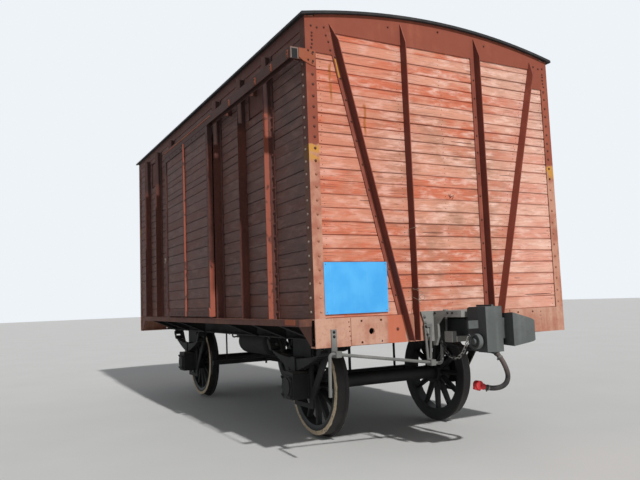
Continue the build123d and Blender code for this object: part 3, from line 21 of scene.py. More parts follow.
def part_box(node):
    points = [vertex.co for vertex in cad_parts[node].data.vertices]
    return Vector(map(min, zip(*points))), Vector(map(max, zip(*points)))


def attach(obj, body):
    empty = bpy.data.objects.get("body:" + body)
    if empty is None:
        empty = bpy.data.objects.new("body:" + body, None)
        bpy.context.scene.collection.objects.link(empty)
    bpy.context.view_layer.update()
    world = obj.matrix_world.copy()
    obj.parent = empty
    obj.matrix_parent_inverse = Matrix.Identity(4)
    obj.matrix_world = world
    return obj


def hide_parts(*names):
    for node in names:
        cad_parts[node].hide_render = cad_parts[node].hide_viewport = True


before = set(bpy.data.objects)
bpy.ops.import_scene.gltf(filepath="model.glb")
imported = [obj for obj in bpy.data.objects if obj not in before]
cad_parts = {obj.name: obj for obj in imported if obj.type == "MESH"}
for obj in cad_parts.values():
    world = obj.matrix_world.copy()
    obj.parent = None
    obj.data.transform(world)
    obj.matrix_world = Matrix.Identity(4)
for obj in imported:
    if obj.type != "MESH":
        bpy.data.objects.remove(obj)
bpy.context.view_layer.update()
WAGON = "wagon"
ENDS = (("front", 1), ("rear", -1))
SIDES = (("left", -1), ("right", 1))
END_SEEDS = (11, 12)
SIDE_SEEDS = (21, 22)
DOOR_SEEDS = (31, 32)
SILL_TOP = 1.265
DOME_PROFILE = ((1.0, -0.2), (1.0, 0.25), (0.74, 0.76), (0.26, 1.0))

log = logging.getLogger("wagon looks")

Point = tuple[float, float, float]
Pair = tuple[float, float]
Oblong = tuple[float, float, float, float]
Colour = tuple[float, float, float, float]
Mapping = Callable[[float, float, float], Point]
Socket = bpy.types.NodeSocket


def paint(red: int, green: int, blue: int) -> Colour:
    """Turns a colour as seen on a screen, 0 to 255 a channel, into a linear one.

    Args:
        red: The red channel.
        green: The green channel.
        blue: The blue channel.

    Returns:
        The linear colour with full alpha.
    """
    channels = []
    for value in (red, green, blue):
        share = value / 255
        channels.append(share / 12.92 if share <= 0.04045 else ((share + 0.055) / 1.055) ** 2.4)
    return (channels[0], channels[1], channels[2], 1.0)


def on_end(sign: int, face: float, way: int = 1) -> Mapping:
    """Gives what turns (across, up, out) at an end's face into a place; way -1 mirrors across."""
    return lambda across, up, out: (sign * (face + out), way * across, up)


def on_side(side: int, face: float, way: int = 1) -> Mapping:
    """Gives what turns (along, up, out) at a side's face into a place; way -1 mirrors along."""
    return lambda along, up, out: (way * along, side * (face + out), up)


def oblong(start: float, stop: float, low: float, high: float) -> list[Pair]:
    """The corners of an upright oblong."""
    return [(start, low), (stop, low), (stop, high), (start, high)]


class Graph:
    """A node material in the making: most methods add nodes and return the last one's output."""

    def __init__(self, name: str) -> None:
        """Starts a material with an empty principled shader.

        Args:
            name: The material's name.
        """
        self.material = bpy.data.materials.new(name)
        self.material.use_nodes = True
        self.tree = self.material.node_tree
        self.tree.nodes.clear()
        self.shader = self.tree.nodes.new("ShaderNodeBsdfPrincipled")
        output = self.tree.nodes.new("ShaderNodeOutputMaterial")
        self.tree.links.new(self.shader.outputs[0], output.inputs[0])
        self.place = self.node("ShaderNodeTexCoord").outputs["Object"]

    def node(self, kind: str, inputs: dict | None = None, **settings: object) -> bpy.types.Node:
        """Adds a node.

        Args:
            kind: The node's type.
            inputs: Values or sockets by the input's name or number.
            **settings: Properties of the node.

        Returns:
            The new node.
        """
        made = self.tree.nodes.new(kind)
        for key, value in settings.items():
            setattr(made, key, value)
        for key, value in (inputs or {}).items():
            self.feed(made.inputs[key], value)
        return made

    def feed(self, socket: Socket, value: object) -> None:
        """Fills an input.

        Args:
            socket: The input.
            value: An output to link to it, or a plain value to write there.
        """
        if isinstance(value, bpy.types.NodeSocket):
            self.tree.links.new(value, socket)
        else:
            socket.default_value = value

    def number(self, operation: str, *values: object) -> Socket:
        """A number worked out from one or two."""
        return self.node("ShaderNodeMath", dict(enumerate(values)), operation=operation).outputs[0]

    def vector(self, operation: str, first: object, second: object) -> Socket:
        """A vector worked out from two."""
        return self.node("ShaderNodeVectorMath", {0: first, 1: second}, operation=operation).outputs[0]

    def stretched(self, x: float, y: float, z: float) -> Socket:
        """The object's coordinates, scaled along each axis."""
        return self.vector("MULTIPLY", self.place, (x, y, z))

    def noise(
        self, vector: Socket, scale: float, detail: float = 4.0, rough: float = 0.55, warp: float = 0.0
    ) -> Socket:
        """Noise between 0 and 1 over a vector."""
        inputs = {"Vector": vector, "Scale": scale, "Detail": detail, "Roughness": rough, "Distortion": warp}
        return self.node("ShaderNodeTexNoise", inputs).outputs["Fac"]

    def sway(self, scale: float, detail: float, reach: float) -> Socket:
        """Noise over the surface, as a distance up to half the reach either way."""
        return self.times(self.sum(self.noise(self.place, scale, detail), -0.5), reach)

    def cells(self, vector: Socket, scale: float) -> Socket:
        """Distance to the nearest of scattered points."""
        return self.node("ShaderNodeTexVoronoi", {"Vector": vector, "Scale": scale}).outputs["Distance"]

    def band(self, value: Socket, low: float, high: float) -> Socket:
        """A smooth step from 0 at low to 1 at high; low may be the larger."""
        inputs = {"Value": value, "From Min": low, "From Max": high}
        return self.node("ShaderNodeMapRange", inputs, interpolation_type="SMOOTHSTEP").outputs["Result"]

    def near(self, value: Socket, middle: float, inner: float, outer: float) -> Socket:
        """1 within an inner distance of a value, falling to 0 at an outer one."""
        return self.band(self.number("ABSOLUTE", self.sum(value, -middle)), outer, inner)

    def sum(self, *terms: object) -> Socket:
        """The terms added up."""
        return reduce(lambda total, term: self.number("ADD", total, term), terms)

    def times(self, *factors: object) -> Socket:
        """The factors multiplied."""
        return reduce(lambda product, factor: self.number("MULTIPLY", product, factor), factors)

    def mix(self, share: object, first: object, second: object) -> Socket:
        """A colour between two, by a share from 0 to 1."""
        return self.node("ShaderNodeMix", {0: share, 6: first, 7: second}, data_type="RGBA").outputs[2]

    def tint(self, colour: object, toward: object, *shares: object) -> Socket:
        """A colour moved toward another one by the product of some shares."""
        return self.mix(self.times(*shares), colour, toward)

    def stored(self, name: str) -> Socket:
        """A number that the mesh keeps under a name."""
        return self.node("ShaderNodeAttribute", attribute_name=name).outputs["Fac"]

    def axis(self, vector: Socket, letter: str) -> Socket:
        """One coordinate of a vector."""
        return self.node("ShaderNodeSeparateXYZ", {0: vector}).outputs[letter]

    def at(self, letter: str) -> Socket:
        """One of the surface's own coordinates."""
        return self.axis(self.place, letter)

    def facing(self, letter: str) -> Socket:
        """How far the surface faces along an axis, from -1 to 1."""
        return self.axis(self.node("ShaderNodeNewGeometry").outputs["Normal"], letter)

    def bump(self, height: Socket, strength: float, distance: float) -> None:
        """Gives the shader a relief of that height in metres."""
        made = self.node("ShaderNodeBump", {"Height": height, "Strength": strength, "Distance": distance})
        self.feed(self.shader.inputs["Normal"], made.outputs[0])

    def finish(self, colour: object, roughness: object) -> bpy.types.Material:
        """Sets the shader's last inputs.

        Args:
            colour: The surface's colour.
            roughness: Its roughness, from 0 to 1.

        Returns:
            The material.
        """
        self.feed(self.shader.inputs["Base Color"], colour)
        self.feed(self.shader.inputs["Roughness"], roughness)
        return self.material


class Grain(Enum):
    """Direction that a wall's boards run in."""

    ALONG_X = "X"
    ALONG_Y = "Y"

    def stretch(self, run: float, across: float) -> Point:
        """Scales by one number along the boards and by another across them."""
        return (run, across, across) if self is Grain.ALONG_X else (across, run, across)


@dataclass(frozen=True)
class Drip:
    """An ochre run down the front end: its place across, its top and foot, and its half width."""

    across: float
    top: float
    foot: float
    half_width: float


@dataclass(frozen=True)
class BoardPaint:
    """Red oxide paint on boards: bleached by the sun, redder in patches, greyed by dirt."""

    name: str
    grain: Grain
    body: Colour
    fresh: Colour
    bleached: Colour
    weathered: Colour
    dark: Colour
    low_dirt: Colour
    ochre: Colour = paint(170, 98, 40)
    fresh_level: float = 0.525
    bleach_level: float = 0.55
    contrast: float = 1.0
    cracked: float = 0.75
    lean: float = 0.0
    dirt_top: float = 1.8
    dirt_full: float = 1.42
    relief: float = 0.002
    drips: tuple[Drip, ...] = ()

    def make(self) -> bpy.types.Material:
        """Builds the material: tones by place, then grain, cracks, knots, dirt and drips.

        Returns:
            The material.
        """
        graph = Graph(self.name)
        lines = graph.stretched(*self.grain.stretch(1.0, 40.0))
        fine = graph.noise(lines, 4.2, 6, 0.62)
        coarse = graph.noise(lines, 1.1, 5, 0.6)
        cloud = graph.noise(graph.place, 1.25, 5, 0.6, 0.4)
        patch = graph.noise(self.by_board(graph, 1.0, 4.4), 1.5, 5, 0.58, 0.35)
        cracks = graph.band(graph.noise(lines, 2.1, 2, 0.4), 0.315, 0.3)
        knots = graph.band(graph.cells(graph.stretched(*self.grain.stretch(1.7, 8.0)), 1.0), 0.1, 0.05)
        worn = graph.times(graph.stored("edge"), graph.band(graph.noise(lines, 0.7, 4), 0.38, 0.62))
        low = graph.band(graph.sum(graph.at("Z"), graph.times(cloud, 0.3)), self.dirt_top, self.dirt_full)
        dirt = graph.times(low, graph.band(graph.noise(graph.place, 4.5, 5), 0.36, 0.62))
        colour = self.tones(graph, patch, coarse, cloud)
        colour = graph.tint(colour, self.dark, graph.band(fine, 0.5, 0.33), 0.34 * self.contrast)
        pale_lines = graph.times(graph.band(fine, 0.55, 0.72), graph.band(patch, 0.35, 0.6))
        colour = graph.tint(colour, self.bleached, pale_lines, 0.4)
        colour = graph.tint(colour, self.dark, cracks, self.cracked)
        colour = graph.tint(colour, self.dark, worn, 0.5)
        colour = graph.tint(colour, self.dark, knots, 0.5)
        colour = graph.tint(colour, self.low_dirt, dirt, 0.55)
        for drip in self.drips:
            colour = self.run(graph, colour, drip)
        relief = (graph.times(fine, 0.6), graph.times(coarse, 0.5), graph.times(cracks, -self.cracked))
        graph.bump(graph.sum(*relief, graph.times(knots, -0.4)), 0.7, self.relief)
        return graph.finish(colour, graph.sum(0.66, graph.times(fine, 0.25)))

    def by_board(self, graph: Graph, run: float, across: float) -> Socket:
        """Stretched coordinates that jump from board to board.

        Args:
            graph: The material's graph.
            run: Scale along the boards.
            across: Scale across them.

        Returns:
            The coordinates.
        """
        board = graph.stored("board")
        jump = {0: graph.times(board, 37.0), 1: graph.times(board, 53.0)}
        shift = graph.node("ShaderNodeCombineXYZ", jump).outputs[0]
        return graph.vector("ADD", graph.stretched(*self.grain.stretch(run, across)), shift)

    def tones(self, graph: Graph, patch: Socket, coarse: Socket, cloud: Socket) -> Socket:
        """Mixes the paint's own tones: redder, bleached and greyed, and a drift across the end.

        Args:
            graph: The material's graph.
            patch: Noise in patches along each board.
            coarse: Noise in coarse lines along the boards.
            cloud: Noise over the whole wall.

        Returns:
            The colour.
        """
        mottle = graph.noise(self.by_board(graph, 2.6, 9.0), 1.7, 5, 0.62, 0.3)
        board = graph.times(graph.stored("board"), 0.36)
        redder = graph.sum(graph.times(patch, 0.7), board, graph.times(coarse, 0.14), -0.1)
        redder = graph.band(redder, self.fresh_level, self.fresh_level + 0.13)
        colour = graph.tint(self.body, self.fresh, redder, 0.85)
        pale = graph.sum(graph.times(mottle, 0.75), graph.times(cloud, 0.25))
        pale = graph.band(pale, self.bleach_level - 0.1, self.bleach_level + 0.1)
        colour = graph.tint(colour, self.bleached, pale, 0.8)
        grey = graph.times(graph.band(cloud, 0.44, 0.64), graph.band(mottle, 0.66, 0.38))
        colour = graph.tint(colour, self.weathered, grey, 0.75)
        colour = graph.tint(colour, self.fresh, graph.band(graph.at("Y"), 0.3, -1.3), self.lean)
        return graph.tint(colour, self.bleached, graph.band(graph.at("Y"), 0.3, 1.3), self.lean)

    def run(self, graph: Graph, colour: Socket, drip: Drip) -> Socket:
        """Paints one drip over a colour.

        Args:
            graph: The material's graph.
            colour: The colour so far.
            drip: The drip.

        Returns:
            The new colour.
        """
        across = graph.sum(graph.at(self.grain.value), graph.sway(7, 3, 0.05))
        share = graph.near(across, drip.across, drip.half_width * 0.3, drip.half_width * 1.7)
        top = graph.band(graph.at("Z"), drip.top, drip.top - 0.05)
        foot = graph.band(graph.at("Z"), drip.foot, drip.foot + 0.12)
        front = graph.band(graph.at("X"), 1.0, 1.1)
        broken = graph.band(graph.noise(graph.stretched(30, 30, 9), 1.0, 4), 0.3, 0.5)
        return graph.tint(colour, self.ochre, share, top, foot, front, broken, 0.95)


@dataclass(frozen=True)
class BareBoards:
    """Unpainted grey-brown timber of the inside."""

    name: str
    grain: Grain
    dark: Colour = paint(84, 70, 58)
    pale: Colour = paint(143, 122, 98)
    damp: Colour = paint(70, 60, 54)

    def make(self) -> bpy.types.Material:
        """Builds the material: timber lines along the boards and damp stains.

        Returns:
            The material.
        """
        graph = Graph(self.name)
        fine = graph.noise(graph.stretched(*self.grain.stretch(1.3, 36)), 3.5, 6, 0.6)
        colour = graph.mix(graph.band(fine, 0.35, 0.65), self.dark, self.pale)
        stain = graph.band(graph.noise(graph.place, 2.2, 4), 0.5, 0.7)
        graph.bump(fine, 0.6, 0.002)
        return graph.finish(graph.tint(colour, self.damp, stain, 0.5), 0.85)


@dataclass(frozen=True)
class SteelPaint:
    """Paint on rolled or cast steel, with faded patches, chips down to rust and settled dust, and where set a
    worn, painted-lit top and painted shade on sideways faces.
    """

    name: str
    body: Colour
    faded: Colour
    rust: Colour = paint(142, 84, 48)
    dust_tone: Colour = paint(150, 138, 122)
    fade: float = 0.5
    chips: float = 0.3
    dust: float = 0.0
    gloss: float = 0.0
    relief: float = 0.0006
    # Colour of roller wear and a painted highlight on upward faces.
    worn_and_lit_top: Colour | None = None
    # Colour of painted shade on faces that look sideways and not up.
    painted_side_shade: Colour | None = None

    def colour(self, graph: Graph) -> Socket:
        """Mixes body, faded and rust colours over the surface.

        Args:
            graph: The material's graph.

        Returns:
            The colour.
        """
        cloud = graph.noise(graph.place, 2.3, 6, 0.6, 0.3)
        speckle = graph.noise(graph.place, 34, 5, 0.65)
        streak = graph.noise(graph.stretched(14, 14, 1.2), 1.0, 4, 0.6)
        share = graph.sum(graph.times(cloud, 0.7), graph.times(streak, 0.3))
        share = graph.band(share, 0.62 - 0.3 * self.fade, 0.82 - 0.3 * self.fade)
        colour = graph.mix(share, self.body, self.faded)
        colour = graph.tint(colour, self.rust, graph.band(speckle, 0.5, 0.3), 0.3)
        chip = graph.sum(graph.times(speckle, 0.55), graph.times(cloud, 0.45))
        chip = graph.band(chip, 0.68 - 0.12 * self.chips, 0.72 - 0.12 * self.chips)
        return graph.tint(colour, self.rust, chip, 0.8)

    def make(self) -> bpy.types.Material:
        """Builds the material: the colour, dust settled on upward faces, a worn and painted-lit top, and
        painted shade on sideways faces.

        Returns:
            The material.
        """
        graph = Graph(self.name)
        colour = self.colour(graph)
        if self.dust:
            settled = graph.band(graph.noise(graph.place, 9, 4), 0.3, 0.65)
            upward = graph.band(graph.facing("Z"), 0.3, 0.95)
            colour = graph.tint(colour, self.dust_tone, upward, settled, self.dust)
        # Painted highlight with wear: upward faces are lightened in patches toward the top colour.
        if self.worn_and_lit_top:
            edge = graph.band(graph.noise(graph.place, 6, 4), 0.3, 0.5)
            colour = graph.tint(colour, self.worn_and_lit_top, graph.band(graph.facing("Z"), 0.6, 0.9), edge, 0.85)
        # Painted shade: faces that look sideways, and not up, are darkened toward the shade colour.
        if self.painted_side_shade:
            sideways = graph.near(graph.facing("Y"), 0.0, 0.75, 0.4)
            level = graph.band(graph.facing("Z"), 0.18, 0.06)
            colour = graph.tint(colour, self.painted_side_shade, sideways, level, 0.85)
        relief = graph.sum(graph.noise(graph.place, 55, 4), graph.times(graph.noise(graph.place, 7, 3), 0.8))
        graph.bump(relief, 0.6, self.relief)
        roughness = graph.sum(0.72 - self.gloss, graph.times(graph.noise(graph.place, 12, 3), 0.2))
        return graph.finish(colour, roughness)


@dataclass(frozen=True)
class CornerPaint(SteelPaint):
    """The corner posts' paint: red above, an ochre patch, and bleached to salmon below it."""

    patch_height: float = 2.76
    ochre: Colour = paint(200, 142, 60)
    salmon: Colour = paint(196, 142, 118)
    deep_salmon: Colour = paint(170, 106, 84)
    primer: Colour = paint(150, 104, 84)

    def colour(self, graph: Graph) -> Socket:
        """Mixes the three stretches by height, with ragged borders.

        Args:
            graph: The material's graph.

        Returns:
            The colour.
        """
        colour = SteelPaint.colour(self, graph)
        wander = graph.times(graph.noise(graph.place, 9, 4), 0.14)
        ragged = graph.sum(graph.at("Z"), wander, -0.07)
        low = graph.band(ragged, self.patch_height + 0.01, self.patch_height - 0.02)
        deep = graph.band(graph.noise(graph.place, 6, 5), 0.4, 0.66)
        bare = graph.band(graph.noise(graph.stretched(18, 18, 3), 1.0, 4), 0.58, 0.7)
        salmon = graph.tint(graph.mix(deep, self.salmon, self.deep_salmon), self.primer, bare, 0.5)
        patch = graph.band(ragged, self.patch_height - 0.16, self.patch_height - 0.09)
        broken = graph.band(graph.noise(graph.place, 14, 3), 0.36, 0.5)
        return graph.tint(graph.mix(low, colour, salmon), self.ochre, patch, low, broken)


@dataclass(frozen=True)
class SidePostPaint(SteelPaint):
    """Brown paint of the side framing, darkened as painted shade, with painted sunlight in red on one web's
    outer half, the stiffener and the door's foot.
    """

    # Red of the painted sunlit strips; the colour under it is painted shadow.
    red: Colour = paint(160, 86, 66)
    painted_shadow: Colour = paint(42, 27, 24)
    post_web: float = 2.454
    post_top: float = 3.22
    post_edge: float = 1.508
    stiffener: float = 0.0
    door_edge: float = 0.945
    reach: float = 0.010
    foot: float = 1.85

    def colour(self, graph: Graph) -> Socket:
        """Mixes the brown and the red of painted sunlight by place, and painted shadow over the top.

        Args:
            graph: The material's graph.

        Returns:
            The colour.
        """
        colour = SteelPaint.colour(self, graph)
        side = graph.number("SIGN", graph.at("Y"))
        wander = graph.times(graph.noise(graph.place, 30, 3), 0.012)
        ragged = graph.sum(graph.times(graph.at("Y"), side), wander)
        # Painted sunlight: the door's foot below the shadow line, the outer half of one web below the guide's
        # shadow, and the stiffener.
        below_foot = graph.band(graph.at("Z"), self.foot + 0.1, self.foot)
        below_top = graph.band(graph.at("Z"), self.post_top + 0.03, self.post_top)
        outer_half = graph.band(ragged, self.post_edge, self.post_edge + 0.004)
        red = graph.sum(
            graph.times(self.strip(graph, side, self.door_edge), below_foot),
            graph.times(self.strip(graph, side, self.post_web), below_top, outer_half),
            self.strip(graph, side, self.stiffener),
        )
        whole = graph.band(graph.noise(graph.place, 9, 5), 0.34, 0.44)
        # Painted shadow darkens the posts above the guide's shadow line.
        shadowed_top = graph.band(graph.at("Z"), self.post_top, self.post_top + 0.12)
        return graph.tint(graph.tint(colour, self.painted_shadow, shadowed_top, 0.75), self.red, red, whole)

    def strip(self, graph: Graph, side: Socket, middle: float) -> Socket:
        """1 in an upright strip at a place along the left side or, turned by half, the right one."""
        along = graph.times(graph.at("X"), side, -1.0)
        return graph.near(along, middle, self.reach, self.reach * 1.5)


@dataclass(frozen=True)
class SillPaint(SteelPaint):
    """Faded paint of the end sills with one fresher patch beside the front diagonal."""

    patch: Colour = paint(196, 106, 76)
    middle: float = -0.65
    half_width: float = 0.095

    def colour(self, graph: Graph) -> Socket:
        """Mixes in the patch on the front sill.

        Args:
            graph: The material's graph.

        Returns:
            The colour.
        """
        colour = SteelPaint.colour(self, graph)
        ragged = graph.sum(graph.at("Y"), graph.times(graph.noise(graph.place, 12, 4), 0.04))
        share = graph.near(ragged, self.middle + 0.02, self.half_width, self.half_width + 0.01)
        return graph.tint(colour, self.patch, share, graph.band(graph.at("X"), 3.0, 3.1), 0.85)


@dataclass(frozen=True)
class LedgeShadePaint(SteelPaint):
    """Grey paint darkened under a casting's ledge by painted shade and some grime, but for what stands before
    it.
    """

    shade_and_grime: Colour = paint(32, 32, 31)
    shade_top: float = 1.220
    shade_half: float = 0.232
    clean_half: float = 0.180
    clean_from: float = 3.300

    def colour(self, graph: Graph) -> Socket:
        """Mixes the paint and the painted shade with grime by place.

        Args:
            graph: The material's graph.

        Returns:
            The colour.
        """
        colour = SteelPaint.colour(self, graph)
        across = graph.at("Y")
        ragged = graph.sum(graph.at("Z"), graph.sway(14, 4, 0.05))
        # Painted shade, with some grime, below the ledge's height across the middle, but not on what stands
        # before the plate.
        low = graph.band(ragged, self.shade_top + 0.01, self.shade_top - 0.01)
        middle = graph.near(across, 0.0, self.shade_half - 0.01, self.shade_half)
        behind = graph.near(graph.at("X"), 0.0, self.clean_from, self.clean_from + 0.004)
        inside = graph.near(across, 0.0, self.clean_half - 0.004, self.clean_half)
        open_part = graph.band(graph.sum(behind, graph.times(inside, -1.0), 1.0), 0.2, 0.8)
        return graph.tint(colour, self.shade_and_grime, low, middle, open_part, 0.9)


@dataclass(frozen=True)
class WheelPaint:
    """Black painted wheels with a pale ring on the outer edge of the tyre and a dark brown tread."""

    name: str
    centre: Point
    black: Colour = paint(13, 13, 14)
    worn_black: Colour = paint(26, 25, 24)
    dirt: Colour = paint(46, 40, 35)
    ring: Colour = paint(208, 188, 158)
    tread: Colour = paint(36, 30, 27)
    worn_tread: Colour = paint(28, 27, 27)
    ring_inner: float = 0.478
    ring_outer: float = 0.519
    ring_side: float = 0.835
    tread_from: float = 0.5205
    tread_side: float = 0.855

    def make(self) -> bpy.types.Material:
        """Builds the material by distance from the axle and from the wagon's middle.

        Returns:
            The material.
        """
        graph = Graph(self.name)
        offset = graph.vector("SUBTRACT", graph.place, self.centre)
        flat = graph.vector("MULTIPLY", offset, (1, 0, 1))
        reach = graph.node("ShaderNodeVectorMath", {0: flat}, operation="LENGTH").outputs["Value"]
        side = graph.number("ABSOLUTE", graph.axis(offset, "Y"))
        speckle = graph.noise(graph.place, 30, 5, 0.65)
        colour = graph.mix(graph.band(speckle, 0.42, 0.7), self.black, self.worn_black)
        dirt = graph.band(graph.noise(graph.place, 6, 4), 0.52, 0.74)
        colour = graph.tint(colour, self.dirt, dirt, 0.4)
        middle = (self.ring_inner + self.ring_outer) / 2
        half = (self.ring_outer - self.ring_inner) / 2
        ring = graph.near(graph.sum(reach, graph.sway(22, 3, 0.012)), middle, half - 0.002, half + 0.003)
        outside = graph.band(side, self.ring_side - 0.015, self.ring_side)
        colour = graph.tint(colour, self.ring, ring, outside, graph.band(speckle, 0.28, 0.45))
        tread = graph.band(reach, self.tread_from, self.tread_from + 0.002)
        between = graph.band(side, self.tread_side, self.tread_side - 0.01)
        brown = graph.mix(speckle, self.tread, self.worn_tread)
        colour = graph.tint(colour, brown, tread, between)
        graph.bump(graph.sum(speckle, graph.noise(graph.place, 8, 3)), 0.6, 0.0008)
        return graph.finish(colour, graph.sum(0.5, graph.times(speckle, 0.3)))


@dataclass(frozen=True)
class SignEnamel:
    """Smooth blue paint of the blank notice plate, a little chalky."""

    name: str
    blue: Colour = paint(66, 168, 236)
    pale_blue: Colour = paint(84, 182, 244)
    chalk: Colour = paint(164, 212, 246)

    def make(self) -> bpy.types.Material:
        """Builds the material.

        Returns:
            The material.
        """
        graph = Graph(self.name)
        cloud = graph.noise(graph.place, 5, 3)
        streak = graph.noise(graph.stretched(1, 60, 3), 1.0, 3)
        colour = graph.mix(graph.band(cloud, 0.3, 0.7), self.blue, self.pale_blue)
        colour = graph.tint(colour, self.chalk, graph.band(streak, 0.6, 0.75), 0.2)
        graph.bump(graph.noise(graph.place, 3, 2), 0.5, 0.004)
        return graph.finish(colour, graph.sum(0.3, graph.times(cloud, 0.15)))


@dataclass(frozen=True)
class Rubber:
    """Cloth-faced rubber of the brake hose, dusty brown above and black below."""

    name: str
    black: Colour = paint(30, 29, 30)
    grey: Colour = paint(58, 52, 49)
    brown: Colour = paint(104, 91, 86)
    dust_from: float = 0.68
    dust_full: float = 0.8

    def make(self) -> bpy.types.Material:
        """Builds the material.

        Returns:
            The material.
        """
        graph = Graph(self.name)
        weave = graph.noise(graph.place, 210, 2)
        cloud = graph.noise(graph.place, 16, 4)
        colour = graph.mix(graph.band(cloud, 0.4, 0.65), self.black, self.grey)
        height = graph.sum(graph.at("Z"), graph.times(cloud, 0.06))
        dusty = graph.band(height, self.dust_from, self.dust_full)
        graph.bump(graph.sum(weave, cloud), 0.6, 0.0007)
        return graph.finish(graph.tint(colour, self.brown, dusty, 0.7), 0.78)


class Finishes:
    """Every finish of the wagon, made once."""

    def __init__(self) -> None:
        """Builds the materials."""
        self.end_boards = BoardPaint(
            name="bleached_end_boards",
            grain=Grain.ALONG_Y,
            body=paint(221, 156, 130),
            fresh=paint(206, 102, 66),
            bleached=paint(246, 204, 186),
            weathered=paint(174, 132, 108),
            dark=paint(124, 68, 52),
            low_dirt=paint(218, 166, 144),
            contrast=1.5,
            cracked=0.3,
            lean=0.38,
            drips=(Drip(-0.882, 3.2, 2.84, 0.012), Drip(-1.225, 3.56, 3.12, 0.011)),
        ).make()
        self.side_boards = BoardPaint(
            name="brown_side_boards",
            grain=Grain.ALONG_X,
            body=paint(98, 68, 62),
            fresh=paint(92, 53, 44),
            bleached=paint(116, 88, 81),
            weathered=paint(79, 60, 55),
            dark=paint(54, 38, 35),
            low_dirt=paint(106, 62, 48),
        ).make()
        self.inner_end_boards = BareBoards("bare_end_boards", Grain.ALONG_Y).make()
        self.inner_side_boards = BareBoards("bare_side_boards", Grain.ALONG_X).make()
        self.framing()
        self.side_steels()
        self.gear()
        self.small_parts()

    def framing(self) -> None:
        """Builds the reds of the ends' framing."""
        red, faded_red = paint(142, 70, 50), paint(162, 86, 62)
        self.red_steel = SteelPaint("red_oxide_steel", red, faded_red, fade=0.35, chips=0.15).make()
        # The side shade colours of the corner posts and end posts are painted shade on their sideways faces.
        self.corner_steel = CornerPaint(
            "corner_post_paint", red, faded_red, chips=0.25, painted_side_shade=paint(66, 38, 32)
        ).make()
        self.post_steel = SteelPaint(
            "dull_red_posts", paint(136, 68, 52), paint(176, 100, 78), painted_side_shade=paint(88, 42, 34)
        ).make()
        self.ochre_streak = SteelPaint("ochre_streak", paint(206, 146, 50), paint(222, 172, 84)).make()
        self.sill_steel = SillPaint(
            "salmon_sill", paint(176, 118, 96), paint(200, 154, 132), fade=0.75, chips=0.15
        ).make()

    def side_steels(self) -> None:
        """Builds the browns of the sides' framing and the black of the roof."""
        # Painted shade and painted sunlight: the side framing's dark brown with red strips, and the side
        # shade colours of it, the guide and the header.
        self.side_steel = SidePostPaint(
            "dark_side_posts", paint(88, 48, 40), paint(104, 58, 48), painted_side_shade=paint(70, 44, 39)
        ).make()
        # The rail's top colour is roller wear and a painted highlight on its upward faces.
        self.rail_steel = SteelPaint(
            "rusty_door_rail", paint(84, 50, 41), paint(112, 70, 55), chips=0.4, worn_and_lit_top=paint(206, 138, 100)
        ).make()
        self.guide_steel = SteelPaint(
            "brown_door_guide", paint(82, 44, 36), paint(98, 56, 46), painted_side_shade=paint(62, 37, 31)
        ).make()
        self.header_steel = SteelPaint(
            "brown_header", paint(104, 60, 50), paint(122, 74, 62), painted_side_shade=paint(84, 52, 46)
        ).make()
        self.ochre_steel = SteelPaint("ochre_plates", paint(154, 82, 54), paint(176, 104, 62)).make()
        self.roof_steel = SteelPaint(
            "black_roof", paint(32, 32, 34), paint(54, 52, 52), paint(84, 60, 48), dust=0.25
        ).make()

    def gear(self) -> None:
        """Builds the finishes of the running gear and the draw gear."""
        self.black_steel = SteelPaint(
            "black_running_gear",
            paint(14, 14, 15),
            paint(26, 25, 24),
            paint(44, 34, 29),
            chips=0.15,
            dust=0.3,
        ).make()
        # Its side shade colour is painted shade on the coupler's sideways faces.
        self.coupler_steel = SteelPaint(
            "slate_coupler_paint",
            paint(85, 89, 87),
            paint(106, 110, 107),
            paint(72, 66, 60),
            chips=0.08,
            gloss=0.12,
            painted_side_shade=paint(42, 44, 44),
        ).make()
        self.grey_steel = SteelPaint(
            "grey_lever_paint",
            paint(108, 108, 105),
            paint(130, 129, 125),
            paint(92, 80, 70),
            chips=0.15,
            gloss=0.08,
        ).make()
        # The striker's paint takes painted shade, with some grime, under its ledge.
        self.striker_steel = LedgeShadePaint(
            "grey_striker_paint", paint(136, 135, 130), paint(160, 158, 152), paint(100, 88, 78), chips=0.15
        ).make()
        self.red_fitting = SteelPaint(
            "red_fitting_paint", paint(190, 40, 44), paint(214, 84, 80), fade=0.4, gloss=0.2
        ).make()

    def small_parts(self) -> None:
        """Builds the finishes of the bolts, the wire, the notice plate and the hose."""
        self.rusty_bolts = SteelPaint("rusty_bolts", paint(92, 50, 42), paint(122, 72, 58), fade=0.4).make()
        self.salmon_bolts = SteelPaint(
            "salmon_bolts", paint(160, 104, 82), paint(194, 140, 116), fade=0.6
        ).make()
        self.pale_bolts = SteelPaint(
            "pale_bolts", paint(128, 112, 104), paint(158, 144, 134), chips=0.5
        ).make()
        self.wire = SteelPaint("bare_wire", paint(140, 124, 112), paint(170, 156, 144), gloss=0.2).make()
        self.sign = SignEnamel("blue_notice_enamel").make()
        self.hose = Rubber("brake_hose_rubber").make()


